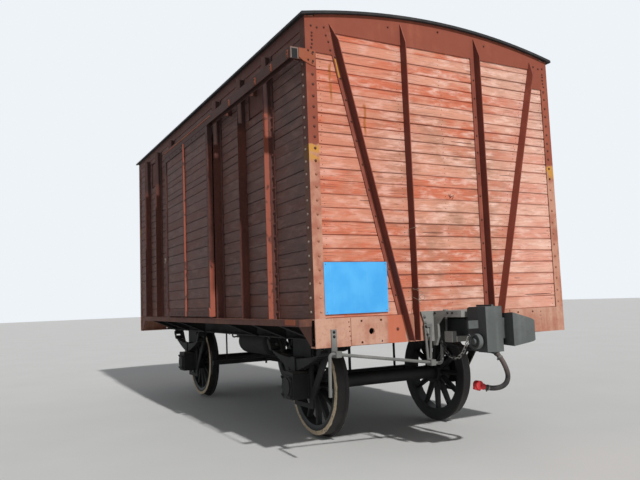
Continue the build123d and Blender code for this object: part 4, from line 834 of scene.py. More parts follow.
class Piece:
    """One mesh made of many closed parts, which rides on a body of the frame."""

    def __init__(self, name: str, body: str, slot: str, finishes: Sequence[bpy.types.Material]) -> None:
        """Starts an empty piece.

        Args:
            name: Its name.
            body: The body that it rides on.
            slot: The slot that its look belongs to; kept on the piece but not used.
            finishes: Its finishes, which its faces pick by number.
        """
        self.name = name
        self.body = body
        self.slot = slot
        self.finishes = finishes
        self.points: list[Point] = []
        self.faces: list[tuple[int, ...]] = []
        self.picks: list[int] = []
        self.tones: list[float] = []
        self.wear: list[float] = []

    def add_points(self, points: Sequence[Point], wear: Sequence[float] | None = None) -> int:
        """Adds points.

        Args:
            points: Their places.
            wear: How worn each one is, from 0 to 1; 0 unless given.

        Returns:
            The first one's number.
        """
        first = len(self.points)
        self.points.extend(points)
        self.wear.extend(wear or [0.0] * len(points))
        return first

    def add_face(self, face: Sequence[int], pick: int = 0, tone: float = 0.5) -> None:
        """Adds a face.

        Args:
            face: Its points' numbers.
            pick: Number of its finish.
            tone: Its board's tone, from 0 to 1.
        """
        self.faces.append(tuple(face))
        self.picks.append(pick)
        self.tones.append(tone)

    def add_rings(self, rings: Sequence[Sequence[Point]], pick: int = 0, closed: bool = False) -> None:
        """Joins rings of equally many points into a shell, with capped ends unless it is closed."""
        first = self.add_points([point for ring in rings for point in ring])
        self.join(first, len(rings), [pick] * len(rings[0]), closed)

    def join(
        self, first: int, rings: int, picks: Sequence[int], closed: bool = False, tone: float = 0.5
    ) -> None:
        """Sets the faces between rings of points that are already there.

        Args:
            first: Number of the first ring's first point.
            rings: How many rings there are.
            picks: Finish of each strip that runs from ring to ring; the caps take the first one's.
            closed: Whether the last ring joins the first.
            tone: The tone of the board that it is.
        """
        count = len(picks)
        for number in range(rings if closed else rings - 1):
            low = first + number * count
            high = first + (number + 1) % rings * count
            for step, pick in enumerate(picks):
                after = (step + 1) % count
                self.add_face((low + step, low + after, high + after, high + step), pick, tone)
        if not closed:
            last = first + (rings - 1) * count
            self.add_face([first + step for step in reversed(range(count))], picks[0], tone)
            self.add_face([last + step for step in range(count)], picks[0], tone)

    def add_dome(
        self, place: Point, out: Vector, radius: float, height: float, sides: int = 8, pick: int = 0
    ) -> None:
        """Adds a bolt's round head.

        Args:
            place: The middle of its foot.
            out: The direction it stands in.
            radius: Its foot's radius.
            height: Its height.
            sides: How many sides it has.
            pick: Number of its finish.
        """
        normal = out.normalized()
        across = normal.orthogonal().normalized()
        other = normal.cross(across)
        turns = [2 * math.pi * step / sides for step in range(sides)]
        spokes = [(across * math.cos(turn) + other * math.sin(turn)) * radius for turn in turns]
        rings = []
        for reach, rise in DOME_PROFILE:
            middle = Vector(place) + normal * height * rise
            rings.append([tuple(middle + spoke * reach) for spoke in spokes])
        self.add_rings(rings, pick)

    def add_nut(self, place: Point, out: Vector, radius: float, height: float, pick: int = 0) -> None:
        """Adds a six-sided nut on a washer, with its bolt's end.

        Args:
            place: The middle of its foot.
            out: The direction it stands in.
            radius: The nut's radius.
            height: The nut's height.
            pick: Number of its finish.
        """
        self.add_dome(place, out, radius * 1.25, height * 0.25, 10, pick)
        self.add_dome(place, out, radius, height, 6, pick)
        self.add_dome(tuple(Vector(place) + out * height * 0.9), out, radius * 0.5, height * 0.5, 6, pick)

    def add_prism(
        self, outline: Sequence[Pair], where: Mapping, low: float, high: float, pick: int = 0
    ) -> None:
        """Adds a straight prism on an outline of (a, b) points; where turns (a, b, depth) into a place."""
        self.add_rings([[where(a, b, depth) for a, b in outline] for depth in (low, high)], pick)

    def add_bar(
        self, line: Sequence[Point], radius: float, sides: int = 6, closed: bool = False, pick: int = 0
    ) -> None:
        """Adds a round bar along a line of points.

        Args:
            line: The points along its middle.
            radius: Its radius.
            sides: How many sides it has.
            closed: Whether it ends where it starts.
            pick: Number of its finish.
        """
        places = [Vector(point) for point in line]
        turns = [2 * math.pi * number / sides for number in range(sides)]
        across = None
        rings = []
        for step, place in enumerate(places):
            before = places[step - 1] if step or closed else place
            after = places[(step + 1) % len(places)] if step < len(places) - 1 or closed else place
            way = (after - before).normalized()
            across = way.orthogonal() if across is None else across - way * across.dot(way)
            across.normalize()
            other = way.cross(across)
            spokes = [across * math.cos(turn) + other * math.sin(turn) for turn in turns]
            rings.append([tuple(place + spoke * radius) for spoke in spokes])
        self.add_rings(rings, pick, closed)

    def build(self, smooth: bool = False, replaces: Sequence[str] = ()) -> bpy.types.Object:
        """Makes the object, gives it its finishes and puts it on its body.

        Args:
            smooth: Whether its faces are shaded smooth.
            replaces: The frame's nodes that it stands for.

        Returns:
            The object.
        """
        mesh = bpy.data.meshes.new(self.name)
        mesh.from_pydata(self.points, [], self.faces)
        for finish in self.finishes:
            mesh.materials.append(finish)
        mesh.polygons.foreach_set("material_index", self.picks)
        mesh.polygons.foreach_set("use_smooth", [smooth] * len(self.faces))
        mesh.attributes.new("board", "FLOAT", "FACE").data.foreach_set("value", self.tones)
        mesh.attributes.new("edge", "FLOAT", "POINT").data.foreach_set("value", self.wear)
        shell = bmesh.new()
        shell.from_mesh(mesh)
        bmesh.ops.recalc_face_normals(shell, faces=shell.faces)
        shell.to_mesh(mesh)
        shell.free()
        mesh.update()
        made = bpy.data.objects.new(self.name, mesh)
        bpy.context.scene.collection.objects.link(made)
        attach(made, self.body)
        if replaces:
            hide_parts(*replaces)
        return made


@dataclass
class Boarding:
    """The boards of the walls and doors: where their seams are and how one is cut."""

    seams: tuple[float, ...] = (
        *(SILL_TOP, 1.384, 1.502, 1.621, 1.739, 1.860, 1.978, 2.097, 2.217, 2.334, 2.451),
        *(2.562, 2.672, 2.774, 2.877, 2.956, 3.052, 3.139, 3.244, 3.332, 3.438),
    )
    upper_pitch: float = 0.0987
    least: float = 0.03
    uneven: float = 0.004
    bevel: float = 0.0026
    joint_depth: float = 0.014
    edge_strip: float = 0.014
    station: float = 0.17
    sink: float = 0.003
    bow: float = 0.0008
    ragged: float = 0.0016
    gaps: tuple[float, ...] = (0.0002, 0.0005, 0.0009, 0.0016, 0.0030, 0.0048)

    def heights(self, top: float, seed: int) -> list[Pair]:
        """Gives each board's lower and upper edge.

        Args:
            top: Where the boards end.
            seed: Seed of their unevenness.

        Returns:
            Pairs of heights from the sill up.
        """
        draw = random.Random(seed)
        nominal = list(self.seams)
        while nominal[-1] < top:
            nominal.append(nominal[-1] + self.upper_pitch)
        inner = [height for height in nominal[1:] if height < top - self.least]
        seams = [nominal[0], *(height + draw.uniform(-self.uneven, self.uneven) for height in inner), top]
        return list(zip(seams, seams[1:]))

    @staticmethod
    def wall(node: str, axis: int) -> Pair:
        """Gives how far out a node's outer face is along an axis, 0 or 1, and its thickness."""
        low, high = (corner[axis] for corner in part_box(node))
        return max(abs(low), abs(high)), high - low

    def lay(
        self,
        piece: Piece,
        where: Mapping,
        span: Pair,
        heights: Pair,
        thickness: float,
        draw: random.Random,
    ) -> None:
        """Lays one board.

        Args:
            piece: The mesh that takes it.
            where: Turns (along, up, out) into a place; out is 0 at the wall's face.
            span: Where it starts and ends along the wall.
            heights: Its lower and upper edge.
            thickness: Its thickness.
            draw: Source of its small unevenness.
        """
        low, high = heights
        gap = draw.choice(self.gaps)
        sink = draw.uniform(0.0, self.sink)
        tone = draw.random()
        count = max(2, round((span[1] - span[0]) / self.station)) + 1
        bows = [draw.uniform(-self.bow, self.bow) for _ in range(count)]
        ragged = [draw.uniform(0.0, self.ragged) for _ in range(2 * count)]
        points, wear = [], []
        for step, bow in enumerate(bows):
            along = span[0] + (span[1] - span[0]) * step / (count - 1)
            bottom = low + gap + ragged[step]
            top = high - gap - ragged[count + step]
            face = -sink - abs(bow)
            section = (
                (-thickness, low, 0.0),
                (-self.joint_depth, low, 0.0),
                (-self.joint_depth, bottom, 1.0),
                (face - self.bevel, bottom, 1.0),
                (face, bottom + self.bevel, 0.8),
                (face, bottom + self.edge_strip, 0.0),
                (face, top - self.edge_strip, 0.0),
                (face, top - self.bevel, 0.8),
                (face - self.bevel, top, 1.0),
                (-self.joint_depth, top, 1.0),
                (-self.joint_depth, high, 0.0),
                (-thickness, high, 0.0),
            )
            points += [where(along, up, out) for out, up, _ in section]
            wear += [worn for _, _, worn in section]
        first = piece.add_points(points, wear)
        painted = [0] * (len(section) - 1)
        piece.join(first, count, [*painted, 1], tone=tone)


@dataclass
class EndWalls:
    """The boarded end walls, front and rear."""

    boarding: Boarding
    finishes: Finishes
    side_gap: float = 0.002
    crown_gap: float = 0.004
    eave_gap: float = 0.03
    arch_share: float = 0.9
    least_drop: float = 0.02
    edge_band: float = 0.005

    def build(self) -> list[bpy.types.Object]:
        """Lays both ends' boards up to the arched roof.

        Returns:
            The two pieces.
        """
        made = []
        for (place, sign), seed in zip(ENDS, END_SEEDS):
            node = f"end_wall_{place}"
            face, thickness = self.boarding.wall(node, 0)
            finishes = [self.finishes.end_boards, self.finishes.inner_end_boards]
            piece = Piece(f"end_boards_{place}", WAGON, "end_boards", finishes)
            draw = random.Random(seed)
            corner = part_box(node)[1]
            half, crown, eave = corner.y - self.side_gap, corner.z, self.eave(node)
            for bottom, top in self.boarding.heights(crown - self.crown_gap, seed):
                drop = max(self.least_drop, (crown - top) / (crown - eave) * self.arch_share)
                reach = half if bottom < eave - self.eave_gap else min(half, half * math.sqrt(drop))
                self.boarding.lay(piece, on_end(sign, face), (-reach, reach), (bottom, top), thickness, draw)
            made.append(piece.build(replaces=[node]))
        return made

    def eave(self, node: str) -> float:
        """Finds the height of an end wall at its side edges.

        Args:
            node: The wall's node.

        Returns:
            The height.
        """
        places = [vertex.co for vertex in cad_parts[node].data.vertices]
        widest = max(place.y for place in places)
        return max(place.z for place in places if place.y > widest - self.edge_band)


@dataclass
class SideWalls:
    """The boarded side walls, left and right, with their hatch openings."""

    boarding: Boarding
    finishes: Finishes
    doorway_half: float = 0.930
    hatch_x: float = 2.110
    hatch_half: float = 0.240
    hatch_low: float = 3.330
    hatch_high: float = 3.730
    sliver: float = 0.015

    def build(self) -> list[bpy.types.Object]:
        """Lays both sides' boards on each side of the doorway.

        Returns:
            The two pieces.
        """
        made = []
        for (place, side), seed in zip(SIDES, SIDE_SEEDS):
            node = f"side_wall_{place}"
            face, thickness = self.boarding.wall(node, 1)
            finishes = [self.finishes.side_boards, self.finishes.inner_side_boards]
            piece = Piece(f"side_boards_{place}", WAGON, "side_boards", finishes)
            draw = random.Random(seed)
            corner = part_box(node)[1]
            for bottom, top in self.boarding.heights(corner.z, seed):
                for sign in (1, -1):
                    for start, stop, floor, ceiling in self.stretches(bottom, top, corner.x):
                        span = (start, stop) if sign > 0 else (-stop, -start)
                        self.boarding.lay(piece, on_side(side, face), span, (floor, ceiling), thickness, draw)
            made.append(piece.build(replaces=[node]))
        return made

    def stretches(self, bottom: float, top: float, end: float) -> Iterator[Oblong]:
        """Cuts a board round the hatch opening.

        Args:
            bottom: The board's lower edge.
            top: Its upper edge.
            end: Where the wall ends.

        Yields:
            Start, end, lower edge and upper edge of each stretch.
        """
        if top <= self.hatch_low or bottom >= self.hatch_high:
            yield self.doorway_half, end, bottom, top
            return
        start, stop = self.hatch_x - self.hatch_half, self.hatch_x + self.hatch_half
        yield self.doorway_half, start, bottom, top
        yield stop, end, bottom, top
        if bottom < self.hatch_low - self.sliver:
            yield start, stop, bottom, self.hatch_low
        if top > self.hatch_high + self.sliver:
            yield start, stop, self.hatch_high, top


@dataclass
class Doors:
    """The boards of the two sliding doors."""

    boarding: Boarding
    finishes: Finishes

    def build(self) -> list[bpy.types.Object]:
        """Lays each door's boards between its frame's posts.

        Returns:
            The two pieces.
        """
        made = []
        for (place, side), seed in zip(SIDES, DOOR_SEEDS):
            node = f"door_{place}_boards"
            low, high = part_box(node)
            face, thickness = self.boarding.wall(node, 1)
            finishes = [self.finishes.side_boards, self.finishes.inner_side_boards]
            piece = Piece(f"door_{place}_planks", f"door_{place}", "door_boards", finishes)
            draw = random.Random(seed)
            for bottom, top in self.boarding.heights(high.z, seed):
                edges = (max(bottom, low.z), top)
                self.boarding.lay(piece, on_side(side, face), (low.x, high.x), edges, thickness, draw)
            made.append(piece.build(replaces=[node]))
        return made


@dataclass(frozen=True)
class EndPost:
    """A rolled angle on an end: its web's foot and lean, the way its flange goes, and its top."""

    foot: float
    lean: float
    way: int
    shoulder: float
    tip: float

    def web(self, height: float) -> float:
        """Distance from the wagon's middle to the web's face at a height."""
        return self.foot + self.lean * (height - SILL_TOP)


UPRIGHT = EndPost(foot=0.455, lean=0.0, way=-1, shoulder=3.793, tip=3.998)
DIAGONAL = EndPost(foot=0.568, lean=0.25, way=1, shoulder=3.700, tip=3.868)


@dataclass
class EndPosts:
    """The end posts: rolled angles from the sill up, whose webs run out to points over the head plates."""

    finishes: Finishes
    back: float = 3.222
    face: float = 3.230
    web_out: float = 3.312
    tip_out: float = 3.236
    thickness: float = 0.008
    flange: float = 0.056
    web_foot: float = 1.030
    flange_top: float = 3.793
    streak: tuple[Pair, ...] = ((-1.183, 3.56), (-1.168, 3.55), (-1.131, 3.38), (-1.146, 3.39))
    streak_back: float = 0.0002
    streak_front: float = 0.0008

    def build(self) -> list[bpy.types.Object]:
        """Makes the posts of both ends, and the ochre streak on one of them.

        Returns:
            The piece.
        """
        finishes = [self.finishes.post_steel, self.finishes.ochre_streak]
        piece = Piece("end_post_sections", WAGON, "body_steel", finishes)
        for _, sign in ENDS:
            for side in (1, -1):
                self.post(piece, UPRIGHT, sign, side)
                self.post(piece, DIAGONAL, sign, side)
        front = on_end(1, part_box("corner_posts")[1].x)
        piece.add_prism(self.streak, front, self.streak_back, self.streak_front, 1)
        return [piece.build(replaces=("end_posts",))]

    def post(self, piece: Piece, post: EndPost, sign: int, side: int) -> None:
        """Adds one post: its web before the sill, the angle, and the web's tip over the head plate.

        Where the web is cut back lower than the flange, a strip goes on with the flange alone.

        Args:
            piece: The mesh that takes it.
            post: The post.
            sign: 1 at the front end, -1 at the rear.
            side: -1 on the left, 1 on the right.
        """
        web = oblong(self.face, self.web_out, 0.0, self.thickness)
        tip = oblong(self.face, self.tip_out, 0.0, self.thickness)
        strip = oblong(self.back, self.face, 0.0, self.flange)
        inner_corner = (self.face, self.thickness)
        angle = [(self.back, 0.0), *web[1:3], inner_corner, *strip[2:]]
        stretches = [
            ((self.web_foot, web), (SILL_TOP, web)),
            ((SILL_TOP, angle), (post.shoulder, angle)),
            ((post.shoulder, web), (post.tip, tip)),
        ]
        if post.shoulder < self.flange_top:
            stretches.append(((post.shoulder, strip), (self.flange_top, strip)))
        for stretch in stretches:
            rings = []
            for height, section in stretch:
                foot = post.web(height)
                rings.append([(sign * x, side * (foot + post.way * y), height) for x, y in section])
            piece.add_rings(rings)


@dataclass
class RailFittings:
    """The door rails' rusty outer lip and the ochre joint plate near their end, whose orange is partly
    painted sunlight.
    """

    finishes: Finishes
    rail_face: float = 1.587
    thickness: float = 0.004
    lip: Oblong = (0.95, 2.48, 1.250, 1.261)
    plate: Oblong = (2.890, 3.090, 1.216, 1.262)

    def build(self) -> list[bpy.types.Object]:
        """Makes both sides' lip and plate, the right side's turned by half.

        Returns:
            The piece.
        """
        finishes = [self.finishes.rusty_bolts, self.finishes.ochre_steel]
        piece = Piece("door_rail_lips", WAGON, "body_steel", finishes)
        for _, side in SIDES:
            where = on_side(side, self.rail_face, -side)
            # The plate's ochre finish is partly painted sunlight on a shaded face.
            for pick, part in enumerate((self.lip, self.plate)):
                piece.add_prism(oblong(*part), where, 0.0, self.thickness, pick)
        return [piece.build()]


@dataclass
class DoorFittings:
    """Bolts on each door's frame, and its hasp with a ring; the right door's are turned by half."""

    boarding: Boarding
    finishes: Finishes
    frame_face: float = 1.616
    stile: float = 0.918
    stiffener: float = 0.036
    top: float = 3.42
    rims: Pair = (1.314, 3.475)
    rim_bolts: tuple[float, ...] = (0.16, 0.34, 0.52, 0.70)
    bolt: float = 0.010
    rise: float = 0.008
    hasp_height: float = 2.090
    hasp: tuple[Pair, ...] = ((0.985, -0.015), (0.880, -0.030), (0.868, 0.0), (0.880, 0.030), (0.985, 0.015))
    hasp_back: float = 0.0005
    hasp_front: float = 0.005
    ring_middle: float = 0.965
    ring_radius: float = 0.034
    ring_wire: float = 0.0042
    ring_gap: float = 0.0052
    ring_steps: int = 18

    def build(self) -> list[bpy.types.Object]:
        """Makes the fittings of both doors.

        Returns:
            The two pieces.
        """
        made = []
        for place, side in SIDES:
            finishes = [self.finishes.side_steel, self.finishes.wire]
            piece = Piece(f"door_{place}_fittings", f"door_{place}", "door_steel", finishes)
            where = on_side(side, self.frame_face, side)
            for along, up in self.bolts():
                piece.add_dome(where(along, up, 0), Vector((0, side, 0)), self.bolt, self.rise)
            hasp = [(along, self.hasp_height + up) for along, up in self.hasp]
            piece.add_prism(hasp, where, self.hasp_back, self.hasp_front)
            piece.add_bar([where(*point) for point in self.ring()], self.ring_wire, 6, True, 1)
            made.append(piece.build())
        return made

    def bolts(self) -> Iterator[Pair]:
        """Gives the bolts of a door's frame.

        Yields:
            Each one's place along the door and its height.
        """
        for number, (bottom, top) in enumerate(self.boarding.heights(self.top, DOOR_SEEDS[0])):
            for along in [self.stile, -self.stile] + [self.stiffener] * (number % 2):
                yield along, (bottom + top) / 2
        for along in self.rim_bolts:
            for height in self.rims:
                yield along, height
                yield -along, height

    def ring(self) -> Iterator[Point]:
        """Gives the middle line of the hasp's ring, which hangs on it.

        Yields:
            Its points, as (along, up, out).
        """
        middle = self.hasp_height - self.ring_radius
        for step in range(self.ring_steps):
            turn = 2 * math.pi * step / self.ring_steps
            along = self.ring_middle + self.ring_radius * math.sin(turn)
            yield along, middle + self.ring_radius * math.cos(turn), self.ring_gap + self.ring_wire


@dataclass
class GuideFittings:
    """What the doors' top guides carry: an ochre plate round the wagon's corner, a lip and hooks."""

    finishes: Finishes
    guide_face: float = 1.615
    lip: Oblong = (-0.950, 1.075, 3.579, 3.589)
    lip_depth: float = 0.006
    plate: tuple[Pair, ...] = (
        *((1.538, 3.520), (1.499, 3.494), (1.412, 3.460)),
        *((1.381, 3.457), (1.377, 3.600), (1.538, 3.600)),
    )
    plate_back: float = 0.0003
    plate_front: float = 0.0065
    plate_bolts: tuple[Pair, ...] = ((1.400, 3.580), (1.402, 3.500), (1.446, 3.590), (1.448, 3.505))
    plate_bolt_foot: float = 0.006
    plate_bolt_size: Pair = (0.010, 0.008)
    hollow: Oblong = (1.550, 1.606, 3.503, 3.590)
    hollow_depth: float = 0.0008
    walls: tuple[Oblong, ...] = (
        (1.606, 1.615, 3.503, 3.600),
        (1.541, 1.550, 3.503, 3.600),
        (1.550, 1.606, 3.590, 3.600),
    )
    wall_depth: float = 0.0030
    section_back: float = 0.0002
    hooks: tuple[float, ...] = (1.697, 2.425, 2.806, 3.170)
    strap_half: float = 0.017
    strap_low: float = 3.520
    strap_high: float = 3.588
    strap_depth: float = 0.005
    strap_bolt: float = 3.570
    strap_bolt_size: Pair = (0.009, 0.007)
    hook_bend: tuple[Pair, ...] = ((3.546, 0.0055), (3.531, 0.009), (3.521, 0.009))
    hook_radius: float = 0.0055

    def build(self) -> list[bpy.types.Object]:
        """Makes the fittings of both sides, the right side's turned by half.

        Returns:
            The piece.
        """
        looks = self.finishes
        finishes = [looks.ochre_steel, looks.side_steel, looks.black_steel, looks.pale_bolts]
        piece = Piece("guide_fittings", WAGON, "body_steel", finishes)
        for _, side in SIDES:
            self.end_plate(piece, side)
            where = on_side(side, self.guide_face, -side)
            piece.add_prism(oblong(*self.lip), where, 0.0, self.lip_depth)
            for along in self.hooks:
                self.hook(piece, along, where, side)
        return [piece.build()]

    def end_plate(self, piece: Piece, side: int) -> None:
        """Adds the plate with its bolts, and the guide's open end beside it.

        Args:
            piece: The mesh that takes them.
            side: -1 on the left, 1 on the right.
        """
        where = on_end(-side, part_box("corner_posts")[1].x, side)
        piece.add_prism(self.plate, where, self.plate_back, self.plate_front)
        piece.add_prism(oblong(*self.hollow), where, self.section_back, self.hollow_depth, 2)
        for wall in self.walls:
            piece.add_prism(oblong(*wall), where, self.section_back, self.wall_depth, 3)
        for across, up in self.plate_bolts:
            foot = where(across, up, self.plate_bolt_foot)
            piece.add_dome(foot, Vector((-side, 0, 0)), *self.plate_bolt_size, pick=1)

    def hook(self, piece: Piece, along: float, where: Mapping, side: int) -> None:
        """Adds one hook: a strap, its bolt and a short bent bar.

        Args:
            piece: The mesh that takes it.
            along: Its place along the guide.
            where: Turns (along, up, out) into a place.
            side: -1 on the left, 1 on the right.
        """
        strap = oblong(along - self.strap_half, along + self.strap_half, self.strap_low, self.strap_high)
        piece.add_prism(strap, where, 0.0, self.strap_depth)
        foot = where(along, self.strap_bolt, self.strap_depth)
        piece.add_dome(foot, Vector((0, side, 0)), *self.strap_bolt_size, pick=1)
        bend = [where(along, up, out) for up, out in self.hook_bend]
        piece.add_bar(bend, self.hook_radius, pick=1)


@dataclass
class Bolts:
    """Bolt heads on the framing of the ends and sides, one row to each board."""

    boarding: Boarding
    finishes: Finishes
    corner_reach: float = 0.062
    flange_middle: float = 0.030
    radius: float = 0.0125
    rise: float = 0.010
    end_share: float = 0.8
    side_share: float = 0.85
    flat_share: float = 0.7
    sill_face: float = 3.230
    head_bottom: float = 3.59
    salmon_top: float = 2.55
    wander: float = 0.008
    wander_seed: int = 61
    head_bolts: tuple[Pair, ...] = (
        *((1.408, 3.824), (1.411, 3.624), (1.404, 3.562), (1.349, 3.816), (1.278, 3.829), (1.261, 3.758)),
        *((1.238, 3.702), (1.221, 3.627), (1.402, 3.76), (1.404, 3.732), (1.402, 3.696), (1.404, 3.659)),
        *((0.59, 3.948), (0.0, 3.999)),
    )
    sill_bolts: tuple[tuple[float, float, float], ...] = (
        *((0.639, 1.141, 0.015), (0.736, 1.2425, 0.011), (0.868, 1.2372, 0.011), (1.066, 1.2344, 0.010)),
        *((1.056, 1.0536, 0.010), (1.144, 1.2261, 0.006), (1.141, 1.186, 0.006), (1.138, 1.146, 0.006)),
        *((1.134, 1.106, 0.006), (1.129, 1.066, 0.006)),
    )
    post_tops: float = 3.66
    side_posts: tuple[tuple[float, int], ...] = ((0.970, 1), (1.770, -1), (2.450, 1))

    def build(self) -> list[bpy.types.Object]:
        """Sets the bolts of both ends and both sides.

        Returns:
            The four pieces.
        """
        ends = [self.end_bolts(place, sign) for place, sign in ENDS]
        sides = [self.side_bolts(place, side, seed) for (place, side), seed in zip(SIDES, SIDE_SEEDS)]
        return ends + sides

    def end_bolts(self, place: str, sign: int) -> bpy.types.Object:
        """Sets the bolts of one end: corner posts, end posts, head plate and sill plates.

        Args:
            place: The end's name.
            sign: 1 at the front end, -1 at the rear.

        Returns:
            The piece.
        """
        finishes = [self.finishes.rusty_bolts, self.finishes.salmon_bolts]
        piece = Piece(f"end_bolts_{place}", WAGON, "body_steel", finishes)
        out = Vector((sign, 0, 0))
        small = self.radius * self.end_share
        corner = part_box("corner_posts")[1]
        draw = random.Random(self.wander_seed)
        for number, (bottom, top) in enumerate(self.boarding.heights(self.head_bottom, END_SEEDS[0])):
            middle = (bottom + top) / 2 + draw.uniform(-self.wander, self.wander)
            upright = UPRIGHT.web(middle) - self.flange_middle
            diagonal = DIAGONAL.web(middle) + self.flange_middle
            pick = int(middle < self.salmon_top)
            for side in (1, -1):
                spot = (sign * corner.x, side * (corner.y - self.corner_reach), middle)
                piece.add_dome(spot, out, self.radius, self.rise, pick=pick)
                for across in (upright, diagonal) if number % 2 else ():
                    piece.add_dome((sign * corner.x, side * across, middle), out, small, self.rise)
        for side in (1, -1):
            for across, up in self.head_bolts:
                piece.add_dome((sign * corner.x, side * across, up), out, small, self.rise)
            for across, up, radius in self.sill_bolts:
                spot = (sign * self.sill_face, side * across, up)
                piece.add_dome(spot, out, radius, radius * self.flat_share)
        return piece.build(smooth=True)

    def side_bolts(self, place: str, side: int, seed: int) -> bpy.types.Object:
        """Sets the bolts of one side: the corner posts' side legs and the side posts.

        Args:
            place: The side's name.
            side: -1 on the left, 1 on the right.
            seed: Seed of its boards.

        Returns:
            The piece.
        """
        finishes = [self.finishes.rusty_bolts, self.finishes.pale_bolts]
        piece = Piece(f"side_bolts_{place}", WAGON, "body_steel", finishes)
        out = Vector((0, side, 0))
        small = self.radius * self.side_share
        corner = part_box("corner_posts")[1]
        for bottom, top in self.boarding.heights(self.post_tops, seed):
            middle = (bottom + top) / 2
            for sign in (1, -1):
                spot = (sign * (corner.x - self.corner_reach), side * corner.y, middle)
                piece.add_dome(spot, out, self.radius, self.rise, pick=1)
                for web, flange in self.side_posts:
                    along = sign * (web + flange * self.flange_middle)
                    piece.add_dome((along, side * corner.y, middle), out, small, self.rise)
        return piece.build(smooth=True)


@dataclass
class EndNails:
    """The end boards' nails: two through each board beside each post."""

    boarding: Boarding
    finishes: Finishes
    seed_step: int = 70
    top: float = 3.75
    sink: float = 0.0022
    post_gap: float = 0.05
    edge: float = 1.335
    wander: float = 0.012
    shares: Pair = (0.27, 0.73)
    radius: float = 0.0042
    rise: float = 0.0028
    sides: int = 5

    def build(self) -> list[bpy.types.Object]:
        """Drives the nails of both ends.

        Returns:
            The two pieces.
        """
        made = []
        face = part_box("end_wall_front")[1].x - self.sink
        inner = UPRIGHT.foot + self.post_gap
        for (place, sign), seed in zip(ENDS, END_SEEDS):
            piece = Piece(f"end_nails_{place}", WAGON, "end_boards", [self.finishes.rusty_bolts])
            draw = random.Random(seed + self.seed_step)
            for bottom, top in self.boarding.heights(self.top, seed):
                outer = DIAGONAL.web((bottom + top) / 2) - self.post_gap
                for across in (-self.edge, -outer, -inner, 0.0, inner, outer, self.edge):
                    for share in self.shares:
                        along = across + draw.uniform(-self.wander, self.wander)
                        spot = (sign * face, along, bottom + (top - bottom) * share)
                        piece.add_dome(spot, Vector((sign, 0, 0)), self.radius, self.rise, self.sides)
            made.append(piece.build(smooth=True))
        return made


@dataclass
class DrawGearBolts:
    """Studs of the axle boxes' lids, and the nuts and bolts of the striker castings and levers."""

    finishes: Finishes
    wheel_x: float = 1.925
    axle_z: float = 0.563
    lid_reach: float = 0.090
    stud_radius: float = 0.008
    stud_rise: float = 0.009
    flange_x: float = 3.250
    flange_nuts: tuple[Pair, ...] = ((0.352, 1.235), (0.310, 1.055), (0.345, 1.180))
    nut_radius: float = 0.014
    nut_rise: float = 0.012
    ledge_back: Pair = (3.230, 0.250)
    ledge_front: Pair = (3.585, 0.205)
    ledge_height: float = 1.266
    ledge_bolts: tuple[float, ...] = (3.268, 3.425, 3.481)
    ledge_radius: float = 0.012
    ledge_rise: float = 0.009
    strap_bolts: tuple[Point, ...] = (
        *((3.262, -0.350, 1.148), (3.262, -0.337, 1.075)),
        *((3.242, -1.300, 1.148), (3.242, -1.300, 1.110)),
    )
    strap_radius: float = 0.011
    strap_rise: float = 0.009

    def build(self) -> list[bpy.types.Object]:
        """Makes the studs of the boxes and the bolts of the draw gear.

        Returns:
            The two pieces.
        """
        looks = self.finishes
        boxes = Piece("axle_box_studs", WAGON, "running_gear_black", [looks.black_steel])
        gear = Piece("draw_gear_bolts", WAGON, "fitting_grey", [looks.grey_steel, looks.black_steel])
        for sign in (1, -1):
            out = Vector((sign, 0, 0))
            for side in (1, -1):
                self.lid(boxes, sign, side)
                for across, up in self.flange_nuts:
                    spot = (sign * self.flange_x, side * across, up)
                    gear.add_nut(spot, out, self.nut_radius, self.nut_rise)
                self.ledge(gear, sign, side)
            for along, across, up in self.strap_bolts:
                spot = (sign * along, sign * across, up)
                gear.add_nut(spot, out, self.strap_radius, self.strap_rise, 1)
        return [boxes.build(smooth=True), gear.build(smooth=True)]

    def lid(self, boxes: Piece, sign: int, side: int) -> None:
        """Sets the four studs of one axle box's lid.

        Args:
            boxes: The mesh that takes them.
            sign: 1 for the front axle, -1 for the rear one.
            side: -1 on the left, 1 on the right.
        """
        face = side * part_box("axle_boxes")[1].y
        for along in (self.lid_reach, -self.lid_reach):
            for up in (self.lid_reach, -self.lid_reach):
                spot = (sign * self.wheel_x + along, face, self.axle_z + up)
                boxes.add_dome(spot, Vector((0, side, 0)), self.stud_radius, self.stud_rise)

    def ledge(self, gear: Piece, sign: int, side: int) -> None:
        """Sets the bolts on one slanted side of a striker's ledge.

        Args:
            gear: The mesh that takes them.
            sign: 1 at the front end, -1 at the rear.
            side: -1 on the left, 1 on the right.
        """
        (back_x, back_y), (front_x, front_y) = self.ledge_back, self.ledge_front
        slope = (back_y - front_y) / (front_x - back_x)
        out = Vector((sign * slope, side, 0))
        for along in self.ledge_bolts:
            across = back_y - slope * (along - back_x)
            spot = (sign * along, side * across, self.ledge_height)
            gear.add_dome(spot, out, self.ledge_radius, self.ledge_rise, pick=1)


